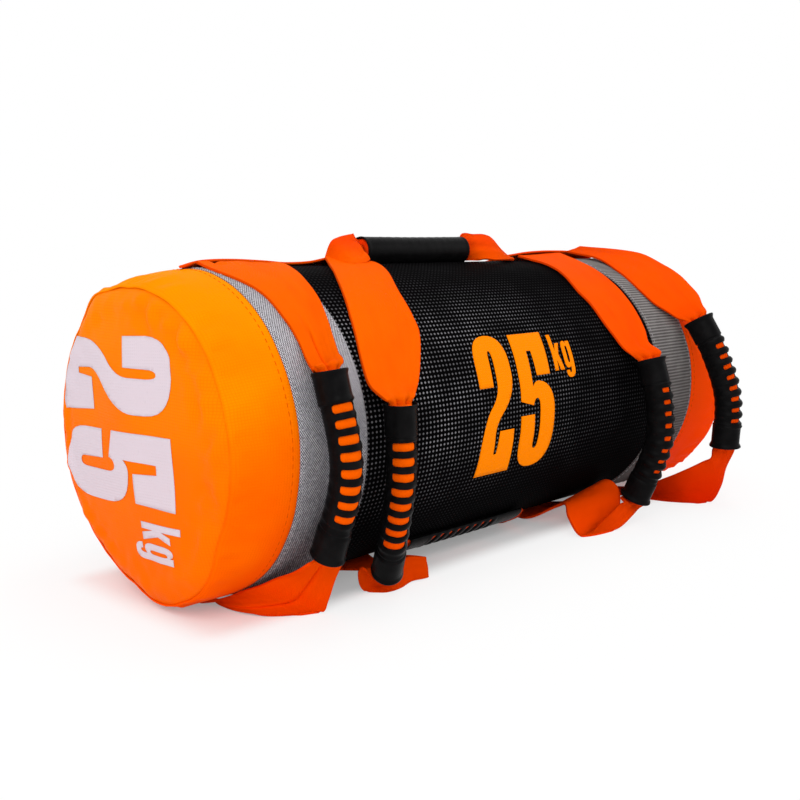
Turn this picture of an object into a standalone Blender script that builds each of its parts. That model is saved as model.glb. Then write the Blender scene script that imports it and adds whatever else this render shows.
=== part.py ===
"""A 25 kg sandbag trainer: a sewn cover over a sleeve of sand, lying on its side, with six webbing handles.

X runs along the bag, its front faces -Y, Z is up, and the floor that it lies on is z = 0.
A place on or round the bag is often written (x, degrees, radius): the angle starts at the front, level with
the bag's axis, and grows upwards, so 90 is the crest and -90 the underside.
"""

import math

import bmesh
import bpy
from mathutils import Matrix, Vector

# The cover
BAG_RADIUS = 0.120
SEAM_X = 0.2964  # half the length between the seams of the two end panels
SEAM_RADIUS = 0.110
BAND_INNER_X = 0.1866
BAND_OUTER_X = 0.2471
END_CROWN = 0.010  # how far the filling bulges an end panel
COVER_WALL = 0.0015
BAND_EXTRA = 0.0004  # the webbing band is this much thicker than the PVC
SLEEVE_WALL = 0.0008
SLEEVE_MOUTH = 0.018
SAND_GAP = 0.0009
FIT_GAP = 0.0003
FLATTENING = 0.003  # how much the filling's weight flattens the underside
COVER_STEPS = 48
FILLING_STEPS = 24

# The straps
STRAP_THICKNESS = 0.0020
STRAP_LIFT = 0.0022  # from the cover to the middle of a strap that lies on it
UNDER_GAP = 0.0008
GATHERED_WIDTH = 0.0235  # a strap's width where it goes into a grip
END_STRAP_HALF_WIDTH = 0.019

# The grips
GRIP_HALF = (0.0105, 0.0135)  # half the size of a grip's oval section, sideways and towards its slots
GRIP_WALL = 0.0030
CORE_GAP = 0.0006
SLOT_COUNT = 8
SLOT_PITCH = 0.0103
SLOT_LENGTH = 0.0150  # round the grip
SLOT_WIDTH = 0.0056  # along the grip
SLOT_CORNER = 0.0018
SLOT_DEPTH = 0.0065
GRIP_POINTS = 9
CORE_INSET = 0.0006
NECK = 0.0008  # from a grip's end to the strap
UPPER_NECK = 0.006  # how far a strap runs straight out of a grip
LOWER_NECK = 0.003

UNDERSIDE_Z = STRAP_THICKNESS + UNDER_GAP
AXIS_Z = UNDERSIDE_Z + BAG_RADIUS - FLATTENING
LAID = BAG_RADIUS + STRAP_LIFT
FLOOR_LAID_Z = STRAP_THICKNESS / 2
STRAP_TURN_Z = 0.035  # a strap lower than this is pressed down by the bag, and a higher one out
END_PANEL_X = SEAM_X - 0.001
END_PANEL_RADIUS = SEAM_RADIUS - COVER_WALL - 0.0005

# The strap that runs along the crest lies between these angles
CREST_STRAP_FRONT = 91.6
CREST_STRAP_BACK = 110.0

ORANGE_PVC = (1.0, 0.27, 0.01)
BLACK_PVC = (0.012, 0.012, 0.014)
GREY_WEBBING = (0.30, 0.30, 0.31)
ORANGE_WEBBING = (1.0, 0.13, 0.005)
BLACK_RUBBER = (0.018, 0.018, 0.020)
SLEEVE_CLOTH = (0.55, 0.54, 0.50)
SAND = (0.55, 0.42, 0.26)

# Each upright handle: its grip from top to bottom, the way that its slots are turned from straight out towards
# +X, and the left and right edges of its two straps. Upper straps start at the crest, and lower ones at the grip.
# Grips and upper straps are (x, degrees, radius), and lower straps (x, y, z).
UPRIGHT_HANDLES = {
    "left_outer": {
        "grip": [(-0.228, 24, 0.1372), (-0.225, -4, 0.1384), (-0.224, -31.8, 0.1382)],
        "slots_turned": -15,
        "upper_left": [
            (-0.243, 90.4, LAID),
            (-0.2485, 76, LAID),
            (-0.2495, 65, LAID),
            (-0.2445, 54, 0.1230),
            (-0.2385, 42, 0.1260),
            (-0.2385, 32, 0.1300),
        ],
        "upper_right": [
            (-0.166, 90.4, LAID),
            (-0.175, 77, LAID),
            (-0.182, 66, LAID),
            (-0.188, 54, LAID),
            (-0.197, 42, 0.1245),
            (-0.209, 32, 0.1295),
        ],
        "lower_left": [
            (-0.241, -0.101, 0.031),
            (-0.246, -0.088, 0.024),
            (-0.251, -0.075, 0.017),
            (-0.257, -0.058, 0.009),
            (-0.262, -0.040, 0.002),
            (-0.266, -0.0215, 0.001),
        ],
        "lower_right": [
            (-0.209, -0.112, 0.026),
            (-0.213, -0.108, 0.011),
            (-0.2195, -0.104, 0.001),
            (-0.2345, -0.0935, 0.001),
            (-0.241, -0.062, 0.001),
            (-0.239, -0.0215, 0.001),
        ],
    },
    "left_inner": {
        "grip": [(-0.1705, 12, 0.1370), (-0.1705, -10, 0.1374), (-0.167, -30, 0.1418), (-0.162, -42.8, 0.1485)],
        "slots_turned": -32,
        "upper_left": [
            (-0.1135, 90.4, LAID),
            (-0.141, 74, LAID),
            (-0.160, 60, LAID),
            (-0.171, 47, LAID),
            (-0.180, 33, 0.1240),
            (-0.182, 21, 0.1300),
        ],
        "upper_right": [
            (-0.072, 90.4, LAID),
            (-0.094, 75, LAID),
            (-0.1065, 61, LAID),
            (-0.113, 48, LAID),
            (-0.1225, 33, 0.1240),
            (-0.147, 21, 0.1300),
        ],
        "lower_left": [
            (-0.173, -0.1025, 0.004),
            (-0.150, -0.1060, 0.001),
            (-0.1095, -0.1025, 0.001),
            (-0.119, -0.088, 0.001),
            (-0.152, -0.060, 0.001),
            (-0.190, -0.0215, 0.001),
        ],
        "lower_right": [
            (-0.147, -0.1060, 0.009),
            (-0.130, -0.1055, 0.017),
            (-0.1105, -0.1035, 0.020),
            (-0.121, -0.090, 0.018),
            (-0.138, -0.064, 0.009),
            (-0.150, -0.0215, 0.001),
        ],
    },
    "right_inner": {
        "grip": [(0.153, 14, 0.1362), (0.151, -1, 0.1428), (0.150, -16, 0.1500), (0.150, -38.5, 0.1560)],
        "slots_turned": 10,
        "upper_left": [
            (0.112, 90.4, LAID),
            (0.111, 74, LAID),
            (0.111, 60, LAID),
            (0.1115, 48, LAID),
            (0.115, 35, 0.1235),
            (0.138, 22.5, 0.1298),
        ],
        "upper_right": [
            (0.190, 90.4, LAID),
            (0.1825, 74, LAID),
            (0.178, 60, LAID),
            (0.178, 48, LAID),
            (0.179, 35, 0.1235),
            (0.168, 22.5, 0.1300),
        ],
        "lower_left": [
            (0.133, -0.1235, 0.0165),
            (0.117, -0.1260, 0.0235),
            (0.101, -0.1255, 0.0175),
            (0.0843, -0.1213, 0.003),
            (0.115, -0.1165, 0.014),
            (0.137, -0.104, 0.026),
            (0.146, -0.089, 0.031),
            (0.146, -0.055, 0.008),
            (0.140, -0.0215, 0.001),
        ],
        "lower_right": [
            (0.155, -0.1240, 0.0110),
            (0.138, -0.1285, 0.0085),
            (0.108, -0.1285, 0.004),
            (0.0676, -0.1181, 0.001),
            (0.066, -0.105, 0.018),
            (0.085, -0.094, 0.030),
            (0.102, -0.086, 0.031),
            (0.100, -0.055, 0.008),
            (0.096, -0.0215, 0.001),
        ],
    },
    "right_outer": {
        "grip": [(0.256, 27, 0.1390), (0.258, 13, 0.1455), (0.260, -4, 0.1540), (0.262, -21.5, 0.1640)],
        "slots_turned": 25,
        "upper_left": [
            (0.203, 90.4, 0.1225),
            (0.214, 71, LAID),
            (0.2055, 55, LAID),
            (0.209, 45, 0.1230),
            (0.237, 35.5, 0.1300),
        ],
        "upper_right": [
            (0.238, 90.4, 0.1330),
            (0.262, 71, 0.1345),
            (0.271, 57, 0.1350),
            (0.274, 46, 0.1360),
            (0.269, 36, 0.1395),
        ],
        "lower_left": [
            (0.250, -0.148, 0.047),
            (0.244, -0.140, 0.042),
            (0.237, -0.126, 0.036),
            (0.234, -0.108, 0.026),
            (0.238, -0.075, 0.011),
            (0.243, -0.045, 0.003),
            (0.246, -0.0215, 0.001),
        ],
        "lower_right": [
            (0.272, -0.149, 0.036),
            (0.270, -0.145, 0.018),
            (0.266, -0.136, 0.002),
            (0.252, -0.126, 0.001),
            (0.236, -0.095, 0.001),
            (0.220, -0.050, 0.001),
            (0.212, -0.0215, 0.001),
        ],
    },
}

# The two handles that lie along the bag: the grip from left to right, the way that its slots face, and the front
# and back edges of the webbing from each end of the grip to the cover, all as (x, y, z). The bottom one is pressed
# flatter, under the bag.
LEVEL_HANDLES = {
    "top_handle": {
        "grip": [(-0.070, 0.012, 0.2522), (-0.008, 0.012, 0.2514), (0.054, 0.012, 0.2522)],
        "half": GRIP_HALF,
        "slots_face": (0.0, 1.0, 0.0),
        "left_front": [
            (-0.080, -0.001, 0.2595),
            (-0.095, -0.003, 0.2580),
            (-0.107, -0.001, 0.2490),
            (-0.1165, 0.004, 0.2425),
        ],
        "left_back": [
            (-0.078, 0.026, 0.2595),
            (-0.086, 0.030, 0.2570),
            (-0.093, 0.034, 0.2480),
            (-0.0975, 0.038, 0.2375),
        ],
        "right_front": [
            (0.065, -0.001, 0.2595),
            (0.077, -0.002, 0.2585),
            (0.090, 0.001, 0.2500),
            (0.104, 0.004, 0.2425),
        ],
        "right_back": [
            (0.065, 0.027, 0.2595),
            (0.079, 0.031, 0.2570),
            (0.092, 0.036, 0.2470),
            (0.104, 0.040, 0.2360),
        ],
    },
    "bottom_handle": {
        "grip": [(-0.096, -0.0685, 0.0094), (-0.031, -0.0690, 0.0094), (0.034, -0.0685, 0.0094)],
        "half": (0.0085, 0.0140),
        "slots_face": (0.0, -0.970, 0.242),
        "left_front": [
            (-0.109, -0.077, 0.011),
            (-0.124, -0.058, 0.004),
            (-0.130, -0.0215, 0.001),
        ],
        "left_back": [
            (-0.105, -0.055, 0.005),
            (-0.104, -0.042, 0.002),
            (-0.100, -0.0215, 0.001),
        ],
        "right_front": [
            (0.048, -0.078, 0.013),
            (0.068, -0.070, 0.012),
            (0.078, -0.050, 0.004),
            (0.082, -0.0215, 0.001),
        ],
        "right_back": [
            (0.045, -0.058, 0.005),
            (0.050, -0.048, 0.003),
            (0.051, -0.036, 0.001),
            (0.051, -0.0215, 0.001),
        ],
    },
}


def clear_scene():
    for obj in list(bpy.data.objects):
        bpy.data.objects.remove(obj, do_unlink=True)


def new_collection(name):
    collection = bpy.data.collections.new(name)
    bpy.context.scene.collection.children.link(collection)
    return collection


def finish_material(name, colour, roughness):
    material = bpy.data.materials.new(name)
    material.use_nodes = True
    shader = material.node_tree.nodes["Principled BSDF"]
    shader.inputs["Base Color"].default_value = (*colour, 1.0)
    shader.inputs["Roughness"].default_value = roughness
    shader.inputs["Metallic"].default_value = 0.0
    return material


def object_from(bm, name, collection, colour=None, roughness=0.5):
    """Turns a bmesh into an object; one without a colour is a cutter."""
    mesh = bpy.data.meshes.new(name)
    bm.to_mesh(mesh)
    bm.free()
    obj = bpy.data.objects.new(name, mesh)
    collection.objects.link(obj)
    if colour is None:
        obj.hide_render = True
        obj.display_type = "WIRE"
        return obj
    mesh.materials.append(finish_material(name, colour, roughness))
    mesh.shade_smooth()
    mesh.set_sharp_from_angle(angle=math.radians(40))
    return obj


def round_bag(place):
    """The point at (x, degrees, radius)."""
    x, degrees, radius = place
    angle = math.radians(degrees)
    return Vector((x, -radius * math.cos(angle), AXIS_Z + radius * math.sin(angle)))


def cover_radius(x):
    """The cover's radius at x: straight to the bands, then a rounded shoulder down to the seam."""
    share = max(0.0, (abs(x) - BAND_OUTER_X) / (SEAM_X - BAND_OUTER_X))
    return BAG_RADIUS - (BAG_RADIUS - SEAM_RADIUS) * min(share, 1.0) ** 2


def end_panel_profile(depth, rim_share=1.0, centre_share=0.0, count=5):
    """(x, radius) points of a crowned end, depth inside the end panel's outside, from the rim to the centre."""
    rim = END_PANEL_RADIUS - depth
    points = []
    for step in range(count):
        share = rim_share + (centre_share - rim_share) * step / (count - 1)
        points.append((END_PANEL_X - depth + END_CROWN * (1 - share**2.2), rim * share))
    return points


def side_profile(depth, start, end, count):
    """(x, radius) points of the cover's side, depth inside its outside."""
    points = []
    for step in range(count):
        x = start + (end - start) * step / (count - 1)
        points.append((x, cover_radius(x) - depth))
    return points


def spun_surface(profile, lowest, steps=COVER_STEPS):
    """A surface turned about the bag's axis, pressed flat where it would go below lowest."""
    bm = bmesh.new()
    verts = [bm.verts.new((x, 0.0, AXIS_Z + radius)) for x, radius in profile]
    edges = [bm.edges.new(pair) for pair in zip(verts, verts[1:])]
    bmesh.ops.spin(
        bm,
        geom=verts + edges,
        cent=(0.0, 0.0, AXIS_Z),
        axis=(1.0, 0.0, 0.0),
        angle=math.tau,
        steps=steps,
        use_merge=True,
    )
    bmesh.ops.remove_doubles(bm, verts=bm.verts, dist=1e-5)
    for vert in bm.verts:
        vert.co.z = max(vert.co.z, lowest)
    bmesh.ops.recalc_face_normals(bm, faces=bm.faces)
    return bm


def add_wall(obj, wall, offset=-1.0):
    """Thickens a surface: inwards at an even depth, or with offset 0 to both sides, as a folded strap needs."""
    solidify = obj.modifiers.new("wall", "SOLIDIFY")
    solidify.thickness = wall
    solidify.offset = offset
    solidify.use_even_offset = offset != 0


def make_cover(parts):
    """The sewn cover: black tube, two grey bands, two orange skirts and two end panels."""
    reach = BAND_INNER_X - FIT_GAP
    tube = spun_surface(side_profile(0.0, -reach, reach, 2), UNDERSIDE_Z)
    add_wall(object_from(tube, "body_tube", parts, BLACK_PVC, 0.35), COVER_WALL)
    for side, sign in (("left", -1), ("right", 1)):
        band_profile = side_profile(-BAND_EXTRA, sign * BAND_INNER_X, sign * BAND_OUTER_X, 2)
        band = spun_surface(band_profile, UNDERSIDE_Z - BAND_EXTRA)
        add_wall(object_from(band, side + "_band", parts, GREY_WEBBING, 0.8), COVER_WALL + BAND_EXTRA)
        start = sign * (BAND_OUTER_X + FIT_GAP)
        skirt = spun_surface(side_profile(0.0, start, sign * SEAM_X, 4), UNDERSIDE_Z)
        add_wall(object_from(skirt, side + "_skirt", parts, ORANGE_PVC, 0.45), COVER_WALL)
        panel = spun_surface([(sign * x, r) for x, r in end_panel_profile(0.0)], UNDERSIDE_Z)
        add_wall(object_from(panel, side + "_end_panel", parts, ORANGE_PVC, 0.45), COVER_WALL)


def make_filling(parts):
    """The sleeve, open at its gathered mouth on the right, and the sand in it."""
    depth = COVER_WALL + FIT_GAP
    reach = END_PANEL_X - depth
    left = [(-x, r) for x, r in reversed(end_panel_profile(depth))]
    mouth = SLEEVE_MOUTH / END_PANEL_RADIUS
    right = end_panel_profile(depth, centre_share=mouth)
    profile = left + side_profile(depth, -reach, reach, 7) + right
    sleeve = spun_surface(profile, UNDERSIDE_Z + depth, FILLING_STEPS)
    add_wall(object_from(sleeve, "inner_sleeve", parts, SLEEVE_CLOTH, 0.9), SLEEVE_WALL)

    depth += SLEEVE_WALL + SAND_GAP
    reach = END_PANEL_X - depth
    left = [(-x, r) for x, r in reversed(end_panel_profile(depth))]
    right = end_panel_profile(depth)
    profile = left + side_profile(depth, -reach, reach, 7) + right
    sand = spun_surface(profile, UNDERSIDE_Z + depth, FILLING_STEPS)
    object_from(sand, "sand_filling", parts, SAND, 1.0)


def smooth_point(points, share):
    """The point at a share of the way along a smooth curve through points."""
    spans = len(points) - 1
    first = min(int(share * spans), spans - 1)
    inside = share * spans - first
    start, end = points[first], points[first + 1]
    before = points[max(first - 1, 0)]
    after = points[min(first + 2, spans)]
    reach = (end - start).length / 3
    handle_1 = start + (end - before).normalized() * reach
    handle_2 = end - (after - start).normalized() * reach
    outside = 1 - inside
    return (
        start * outside**3
        + handle_1 * (3 * outside**2 * inside)
        + handle_2 * (3 * outside * inside**2)
        + end * inside**3
    )


def station_share(points, share):
    """Turns a share of the length of the way through points into a share of their count."""
    lengths = [(b - a).length for a, b in zip(points, points[1:])]
    left = share * sum(lengths)
    for station, length in enumerate(lengths):
        if left <= length or station == len(lengths) - 1:
            return (station + min(left / length, 1.0)) / len(lengths)
        left -= length


def clear_of_bag(point):
    """The point, moved off the cover and the floor if a strap through it would touch them."""
    radius = math.hypot(point.y, point.z - AXIS_Z)
    least = cover_radius(point.x) + STRAP_LIFT
    if abs(point.x) < SEAM_X and radius < least:
        if point.z < STRAP_TURN_Z:
            height = AXIS_Z - math.sqrt(max(0.0, least**2 - point.y**2))
            point.z = min(point.z, height)
        else:
            point.y *= least / radius
            point.z = AXIS_Z + (point.z - AXIS_Z) * least / radius
    point.z = max(point.z, FLOOR_LAID_Z)
    return point


def make_strap(name, edge_1, edge_2, parts, along, across=3):
    """A strap between two edges, thickened to both sides."""
    middle_line = [a.lerp(b, 0.5) for a, b in zip(edge_1, edge_2)]
    bm = bmesh.new()
    bmesh.ops.create_grid(bm, x_segments=along, y_segments=across, size=1.0)
    for vert in bm.verts:
        share = station_share(middle_line, (vert.co.x + 1) / 2)
        side = (vert.co.y + 1) / 2
        middle = smooth_point(edge_1, share).lerp(smooth_point(edge_2, share), side)
        vert.co = clear_of_bag(middle)
    strap = object_from(bm, name, parts, ORANGE_WEBBING, 0.7)
    add_wall(strap, STRAP_THICKNESS, offset=0.0)


def slot_side(points, index, facing):
    """The unit vector across the path at one of its points, on the side that facing(point) gives."""
    direction = (points[min(index + 1, len(points) - 1)] - points[max(index - 1, 0)]).normalized()
    out = facing(points[index])
    return (out - direction * out.dot(direction)).normalized()


def oval_tube(name, points, facing, half, collection, colour=None):
    """A closed tube with an oval section along points, as a mesh that Booleans can use."""
    curve = bpy.data.curves.new(name + "_path", "CURVE")
    curve.dimensions = "3D"
    curve.bevel_depth = half[0]
    curve.bevel_resolution = 2 if half[0] < GRIP_HALF[0] - GRIP_WALL / 2 else 4
    curve.use_fill_caps = True
    spline = curve.splines.new("POLY")
    spline.points.add(len(points) - 1)
    for knot, point in zip(spline.points, points):
        knot.co = (*point, 1.0)
    guide = bpy.data.objects.new(name + "_path", curve)
    collection.objects.link(guide)
    bpy.context.view_layer.update()
    graph = bpy.context.evaluated_depsgraph_get()
    mesh = bpy.data.meshes.new_from_object(guide.evaluated_get(graph))
    bm = bmesh.new()
    bm.from_mesh(mesh)
    bpy.data.objects.remove(guide, do_unlink=True)
    bmesh.ops.remove_doubles(bm, verts=bm.verts, dist=1e-6)
    for vert in bm.verts:
        nearest = min(range(len(points)), key=lambda index: (points[index] - vert.co).length)
        out = slot_side(points, nearest, facing)
        vert.co += out * ((vert.co - points[nearest]).dot(out) * (half[1] / half[0] - 1))
    return object_from(bm, name, collection, colour, 0.5)


def along_path(points, distance):
    """The point and direction at a distance along a path."""
    for start, end in zip(points, points[1:]):
        length = (end - start).length
        if distance <= length:
            break
        distance -= length
    direction = (end - start).normalized()
    return start + direction * distance, direction


def cut(obj, cutter):
    boolean = obj.modifiers.new(cutter.name, "BOOLEAN")
    boolean.operation = "DIFFERENCE"
    boolean.object = cutter


def make_slots(name, points, facing, half, cutters):
    """The row of rounded slots in the middle of a grip, on the side that facing(point) gives."""
    length = sum((b - a).length for a, b in zip(points, points[1:]))
    bm = bmesh.new()
    for slot in range(SLOT_COUNT):
        distance = length / 2 + (slot - (SLOT_COUNT - 1) / 2) * SLOT_PITCH
        middle, direction = along_path(points, distance)
        out = facing(middle)
        out = (out - direction * out.dot(direction)).normalized()
        turn = Matrix((direction.cross(out), direction, out)).transposed().to_4x4()
        earlier = set(bm.verts)
        size = Matrix.Diagonal((SLOT_LENGTH, SLOT_WIDTH, 2 * SLOT_DEPTH, 1.0))
        bmesh.ops.create_cube(bm, size=1.0, matrix=size)
        upright = [
            edge
            for edge in bm.edges
            if edge.verts[0] not in earlier and abs(edge.verts[0].co.z - edge.verts[1].co.z) > SLOT_DEPTH
        ]
        bmesh.ops.bevel(bm, geom=upright, offset=SLOT_CORNER, segments=1, affect="EDGES")
        box = [vert for vert in bm.verts if vert not in earlier]
        place = Matrix.Translation(middle + out * half[1])
        bmesh.ops.transform(bm, matrix=place @ turn, verts=box)
    return object_from(bm, name + "_slots", cutters)


def make_grip(name, points, facing, half, parts, cutters):
    """A rubber grip with its bore and slots, and the folded webbing inside it."""
    first = (points[0] - points[1]).normalized()
    last = (points[-1] - points[-2]).normalized()
    grip = oval_tube(name + "_grip", points, facing, half, parts, BLACK_RUBBER)
    longer = [points[0] + first * 0.004, *points[1:-1], points[-1] + last * 0.004]
    bore = [size - GRIP_WALL for size in half]
    cut(grip, oval_tube(name + "_bore", longer, facing, bore, cutters))
    cut(grip, make_slots(name, points, facing, half, cutters))
    shorter = [points[0] - first * CORE_INSET, *points[1:-1], points[-1] - last * CORE_INSET]
    core = [size - CORE_GAP for size in bore]
    oval_tube(name + "_core", shorter, facing, core, parts, ORANGE_WEBBING)


def neck_points(end, direction, across, straight):
    """The two edges' first two points, where a strap comes out of a grip's end."""
    across = (across - direction * across.dot(direction)).normalized()
    edges = []
    for sign in (-1, 1):
        corner = end + direction * NECK + across * (sign * GATHERED_WIDTH / 2)
        edges.append([corner, corner + direction * straight])
    return edges


def make_upright_handle(name, handle, parts, cutters):
    stations = [round_bag(place) for place in handle["grip"]]
    points = [smooth_point(stations, step / (GRIP_POINTS - 1)) for step in range(GRIP_POINTS)]
    turned = math.radians(handle["slots_turned"])

    def facing(point):
        out = Vector((0.0, point.y, point.z - AXIS_Z)).normalized()
        return out * math.cos(turned) + Vector((math.sin(turned), 0.0, 0.0))

    make_grip(name, points, facing, GRIP_HALF, parts, cutters)

    across = Vector((1.0, 0.0, 0.0))
    up = (points[0] - points[1]).normalized()
    left, right = neck_points(points[0], up, across, UPPER_NECK)
    upper_left = [round_bag(place) for place in handle["upper_left"]] + left[::-1]
    upper_right = [round_bag(place) for place in handle["upper_right"]] + right[::-1]
    make_strap(name + "_strap_upper", upper_left, upper_right, parts, along=14)

    down = (points[-1] - points[-2]).normalized()
    left, right = neck_points(points[-1], down, across, LOWER_NECK)
    lower_left = left + [Vector(place) for place in handle["lower_left"]]
    lower_right = right + [Vector(place) for place in handle["lower_right"]]
    make_strap(name + "_strap_lower", lower_left, lower_right, parts, along=2 * len(lower_left) + 2)


def make_level_handle(name, handle, parts, cutters):
    stations = [Vector(place) for place in handle["grip"]]
    points = [smooth_point(stations, step / (GRIP_POINTS - 1)) for step in range(GRIP_POINTS)]
    across = Vector(handle["slots_face"])
    make_grip(name, points, lambda point: Vector(handle["slots_face"]), handle["half"], parts, cutters)
    if across.y < 0:
        across.negate()
    for side, end, inner in (("left", points[0], points[1]), ("right", points[-1], points[-2])):
        out = (end - inner).normalized()
        front, back = neck_points(end, out, across, LOWER_NECK)
        edge_1 = front + [Vector(place) for place in handle[side + "_front"]]
        edge_2 = back + [Vector(place) for place in handle[side + "_back"]]
        make_strap(name + "_web_" + side, edge_1, edge_2, parts, along=10)


def make_long_straps(parts):
    """The lengthwise straps: one on each side of the top handle, and one under the bag."""
    spans = {
        "left": ((-0.243, -0.181, -0.119), (-0.236, -0.168, -0.100)),
        "right": ((0.1065, 0.186, 0.264), (0.1065, 0.186, 0.264)),
    }
    for side, (front_xs, back_xs) in spans.items():
        front = [round_bag((x, CREST_STRAP_FRONT, LAID + 0.0022)) for x in front_xs]
        back = [round_bag((x, CREST_STRAP_BACK, LAID)) for x in back_xs]
        make_strap("top_strap_" + side, front, back, parts, along=4, across=5)

    bm = bmesh.new()
    size = (0.540, 2 * END_STRAP_HALF_WIDTH, STRAP_THICKNESS)
    place = Matrix.Translation((0.0, 0.0, STRAP_THICKNESS / 2)) @ Matrix.Diagonal((*size, 1.0))
    bmesh.ops.create_cube(bm, size=1.0, matrix=place)
    object_from(bm, "bottom_strap", parts, ORANGE_WEBBING, 0.7)


def main():
    clear_scene()
    parts = new_collection("sandbag_trainer")
    cutters = new_collection("cutters")
    make_cover(parts)
    make_filling(parts)
    make_long_straps(parts)
    for name, handle in UPRIGHT_HANDLES.items():
        make_upright_handle(name, handle, parts, cutters)
    for name, handle in LEVEL_HANDLES.items():
        make_level_handle(name, handle, parts, cutters)


main()
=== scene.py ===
import math

import bmesh
import bpy
from mathutils import Matrix, Vector, noise


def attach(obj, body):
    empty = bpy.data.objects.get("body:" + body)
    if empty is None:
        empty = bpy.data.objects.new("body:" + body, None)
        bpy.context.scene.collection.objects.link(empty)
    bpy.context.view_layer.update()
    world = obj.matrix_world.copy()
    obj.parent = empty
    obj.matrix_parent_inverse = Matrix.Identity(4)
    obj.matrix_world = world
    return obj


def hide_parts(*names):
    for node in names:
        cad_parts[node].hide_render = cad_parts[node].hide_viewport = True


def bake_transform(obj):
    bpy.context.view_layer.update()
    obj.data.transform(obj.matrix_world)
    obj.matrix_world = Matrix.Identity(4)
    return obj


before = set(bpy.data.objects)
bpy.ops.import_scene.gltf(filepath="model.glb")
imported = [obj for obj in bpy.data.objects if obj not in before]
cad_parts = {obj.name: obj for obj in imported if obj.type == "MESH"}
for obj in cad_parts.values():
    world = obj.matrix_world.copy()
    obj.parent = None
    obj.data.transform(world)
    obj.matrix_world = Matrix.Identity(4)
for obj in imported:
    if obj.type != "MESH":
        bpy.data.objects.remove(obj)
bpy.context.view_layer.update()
print("frame loaded,", len(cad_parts), "nodes")

bag = {
    "radius": 0.120,
    "axisZ": 0.1198,
    "underside": 0.0028,  # it lies on its straps
    "endUnderside": 0.0006,  # and sags to the floor past their ends
    "sagFrom": 0.272,
    "sagTo": 0.288,
    "bandInner": 0.1884,
    "bandOuter": 0.2486,
    "lowFill": 0.92,  # how much fuller the shoulders are near the floor
    "steps": 192,
}

# each end: where its panel is sewn to the skirt, how far the filling bulges it,
# and round which angle it is full
ends = {
    -1: {"seamX": 0.2964, "seamRadius": 0.110, "crown": 0.010, "taper": 2, "lowGain": 0.0,
         "fullAt": 296, "fullFrom": (0.829, 0.9945)},
    1: {"seamX": 0.3110, "seamRadius": 0.1165, "crown": 0.005, "taper": 3, "lowGain": 0.0068,
        "fullAt": 270, "fullFrom": (0.80, 0.995)},
}

camera = {
    "place": (-0.6723, -0.639, 0.2618),
    "yaw": 44.81,
    "pitch": -8.88,
    "roll": 0.09,
    "lens": 46.8,
}


def makeCamera():
    yaw, pitch, roll = (math.radians(camera[key]) for key in ("yaw", "pitch", "roll"))
    ahead = Vector((math.sin(yaw) * math.cos(pitch), math.cos(yaw) * math.cos(pitch), math.sin(pitch)))
    right = Vector((math.cos(yaw), -math.sin(yaw), 0.0))
    up = right.cross(ahead)
    turnedRight = right * math.cos(roll) + up * math.sin(roll)
    turnedUp = up * math.cos(roll) - right * math.sin(roll)
    data = bpy.data.cameras.new("view")
    data.lens = camera["lens"]
    data.sensor_width = 36
    obj = bpy.data.objects.new("view", data)
    bpy.context.scene.collection.objects.link(obj)
    turn = Matrix((turnedRight, turnedUp, -ahead)).transposed().to_4x4()
    obj.matrix_world = Matrix.Translation(camera["place"]) @ turn
    bpy.context.scene.camera = obj


makeCamera()
bpy.context.scene.view_settings.view_transform = "Standard"
print("camera placed")


class Sock:
    # one output socket of a material, so that shader maths reads as plain Python
    def __init__(self, tree, socket=None):
        self.tree = tree
        self.socket = socket

    def feed(self, target, value):
        if isinstance(value, Sock):
            self.tree.links.new(value.socket, target)
        else:
            target.default_value = value

    # any node: its type, its settings, the values or links of its sockets, and which output to take
    def node(self, kind, settings, values, out=0):
        made = self.tree.nodes.new("ShaderNode" + kind)
        for key, value in settings.items():
            setattr(made, key, value)
        for key, value in values.items():
            self.feed(made.inputs[key], value)
        return Sock(self.tree, made.outputs[out])

    def twin(self, out):
        # another output of the same node
        return Sock(self.tree, self.socket.node.outputs[out])

    def maths(self, operation, *values):
        return self.node("Math", {"operation": operation}, dict(enumerate(values)))

    def __add__(self, other):
        return self.maths("ADD", self, other)

    def __radd__(self, other):
        return self.maths("ADD", other, self)

    def __sub__(self, other):
        return self.maths("SUBTRACT", self, other)

    def __rsub__(self, other):
        return self.maths("SUBTRACT", other, self)

    def __mul__(self, other):
        return self.maths("MULTIPLY", self, other)

    def __rmul__(self, other):
        return self.maths("MULTIPLY", other, self)

    def __truediv__(self, other):
        return self.maths("DIVIDE", self, other)

    def __pow__(self, other):
        return self.maths("POWER", self, other)

    def cosine(self, period):
        return self.maths("COSINE", self * (math.tau / period))

    def largest(self, other):
        return self.maths("MAXIMUM", self, other)

    def between(self, low, high, start=0.0, end=1.0):
        values = {"Value": self, "From Min": low, "From Max": high, "To Min": start, "To Max": end}
        return self.node("MapRange", {"clamp": True, "interpolation_type": "SMOOTHSTEP"}, values)

    def blendColours(self, first, second):
        values = {0: self, 6: colourOf(first), 7: colourOf(second)}
        return self.node("Mix", {"data_type": "RGBA"}, values, out=2)


def colourOf(value):
    return value if isinstance(value, Sock) else (*value, 1.0)


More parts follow.
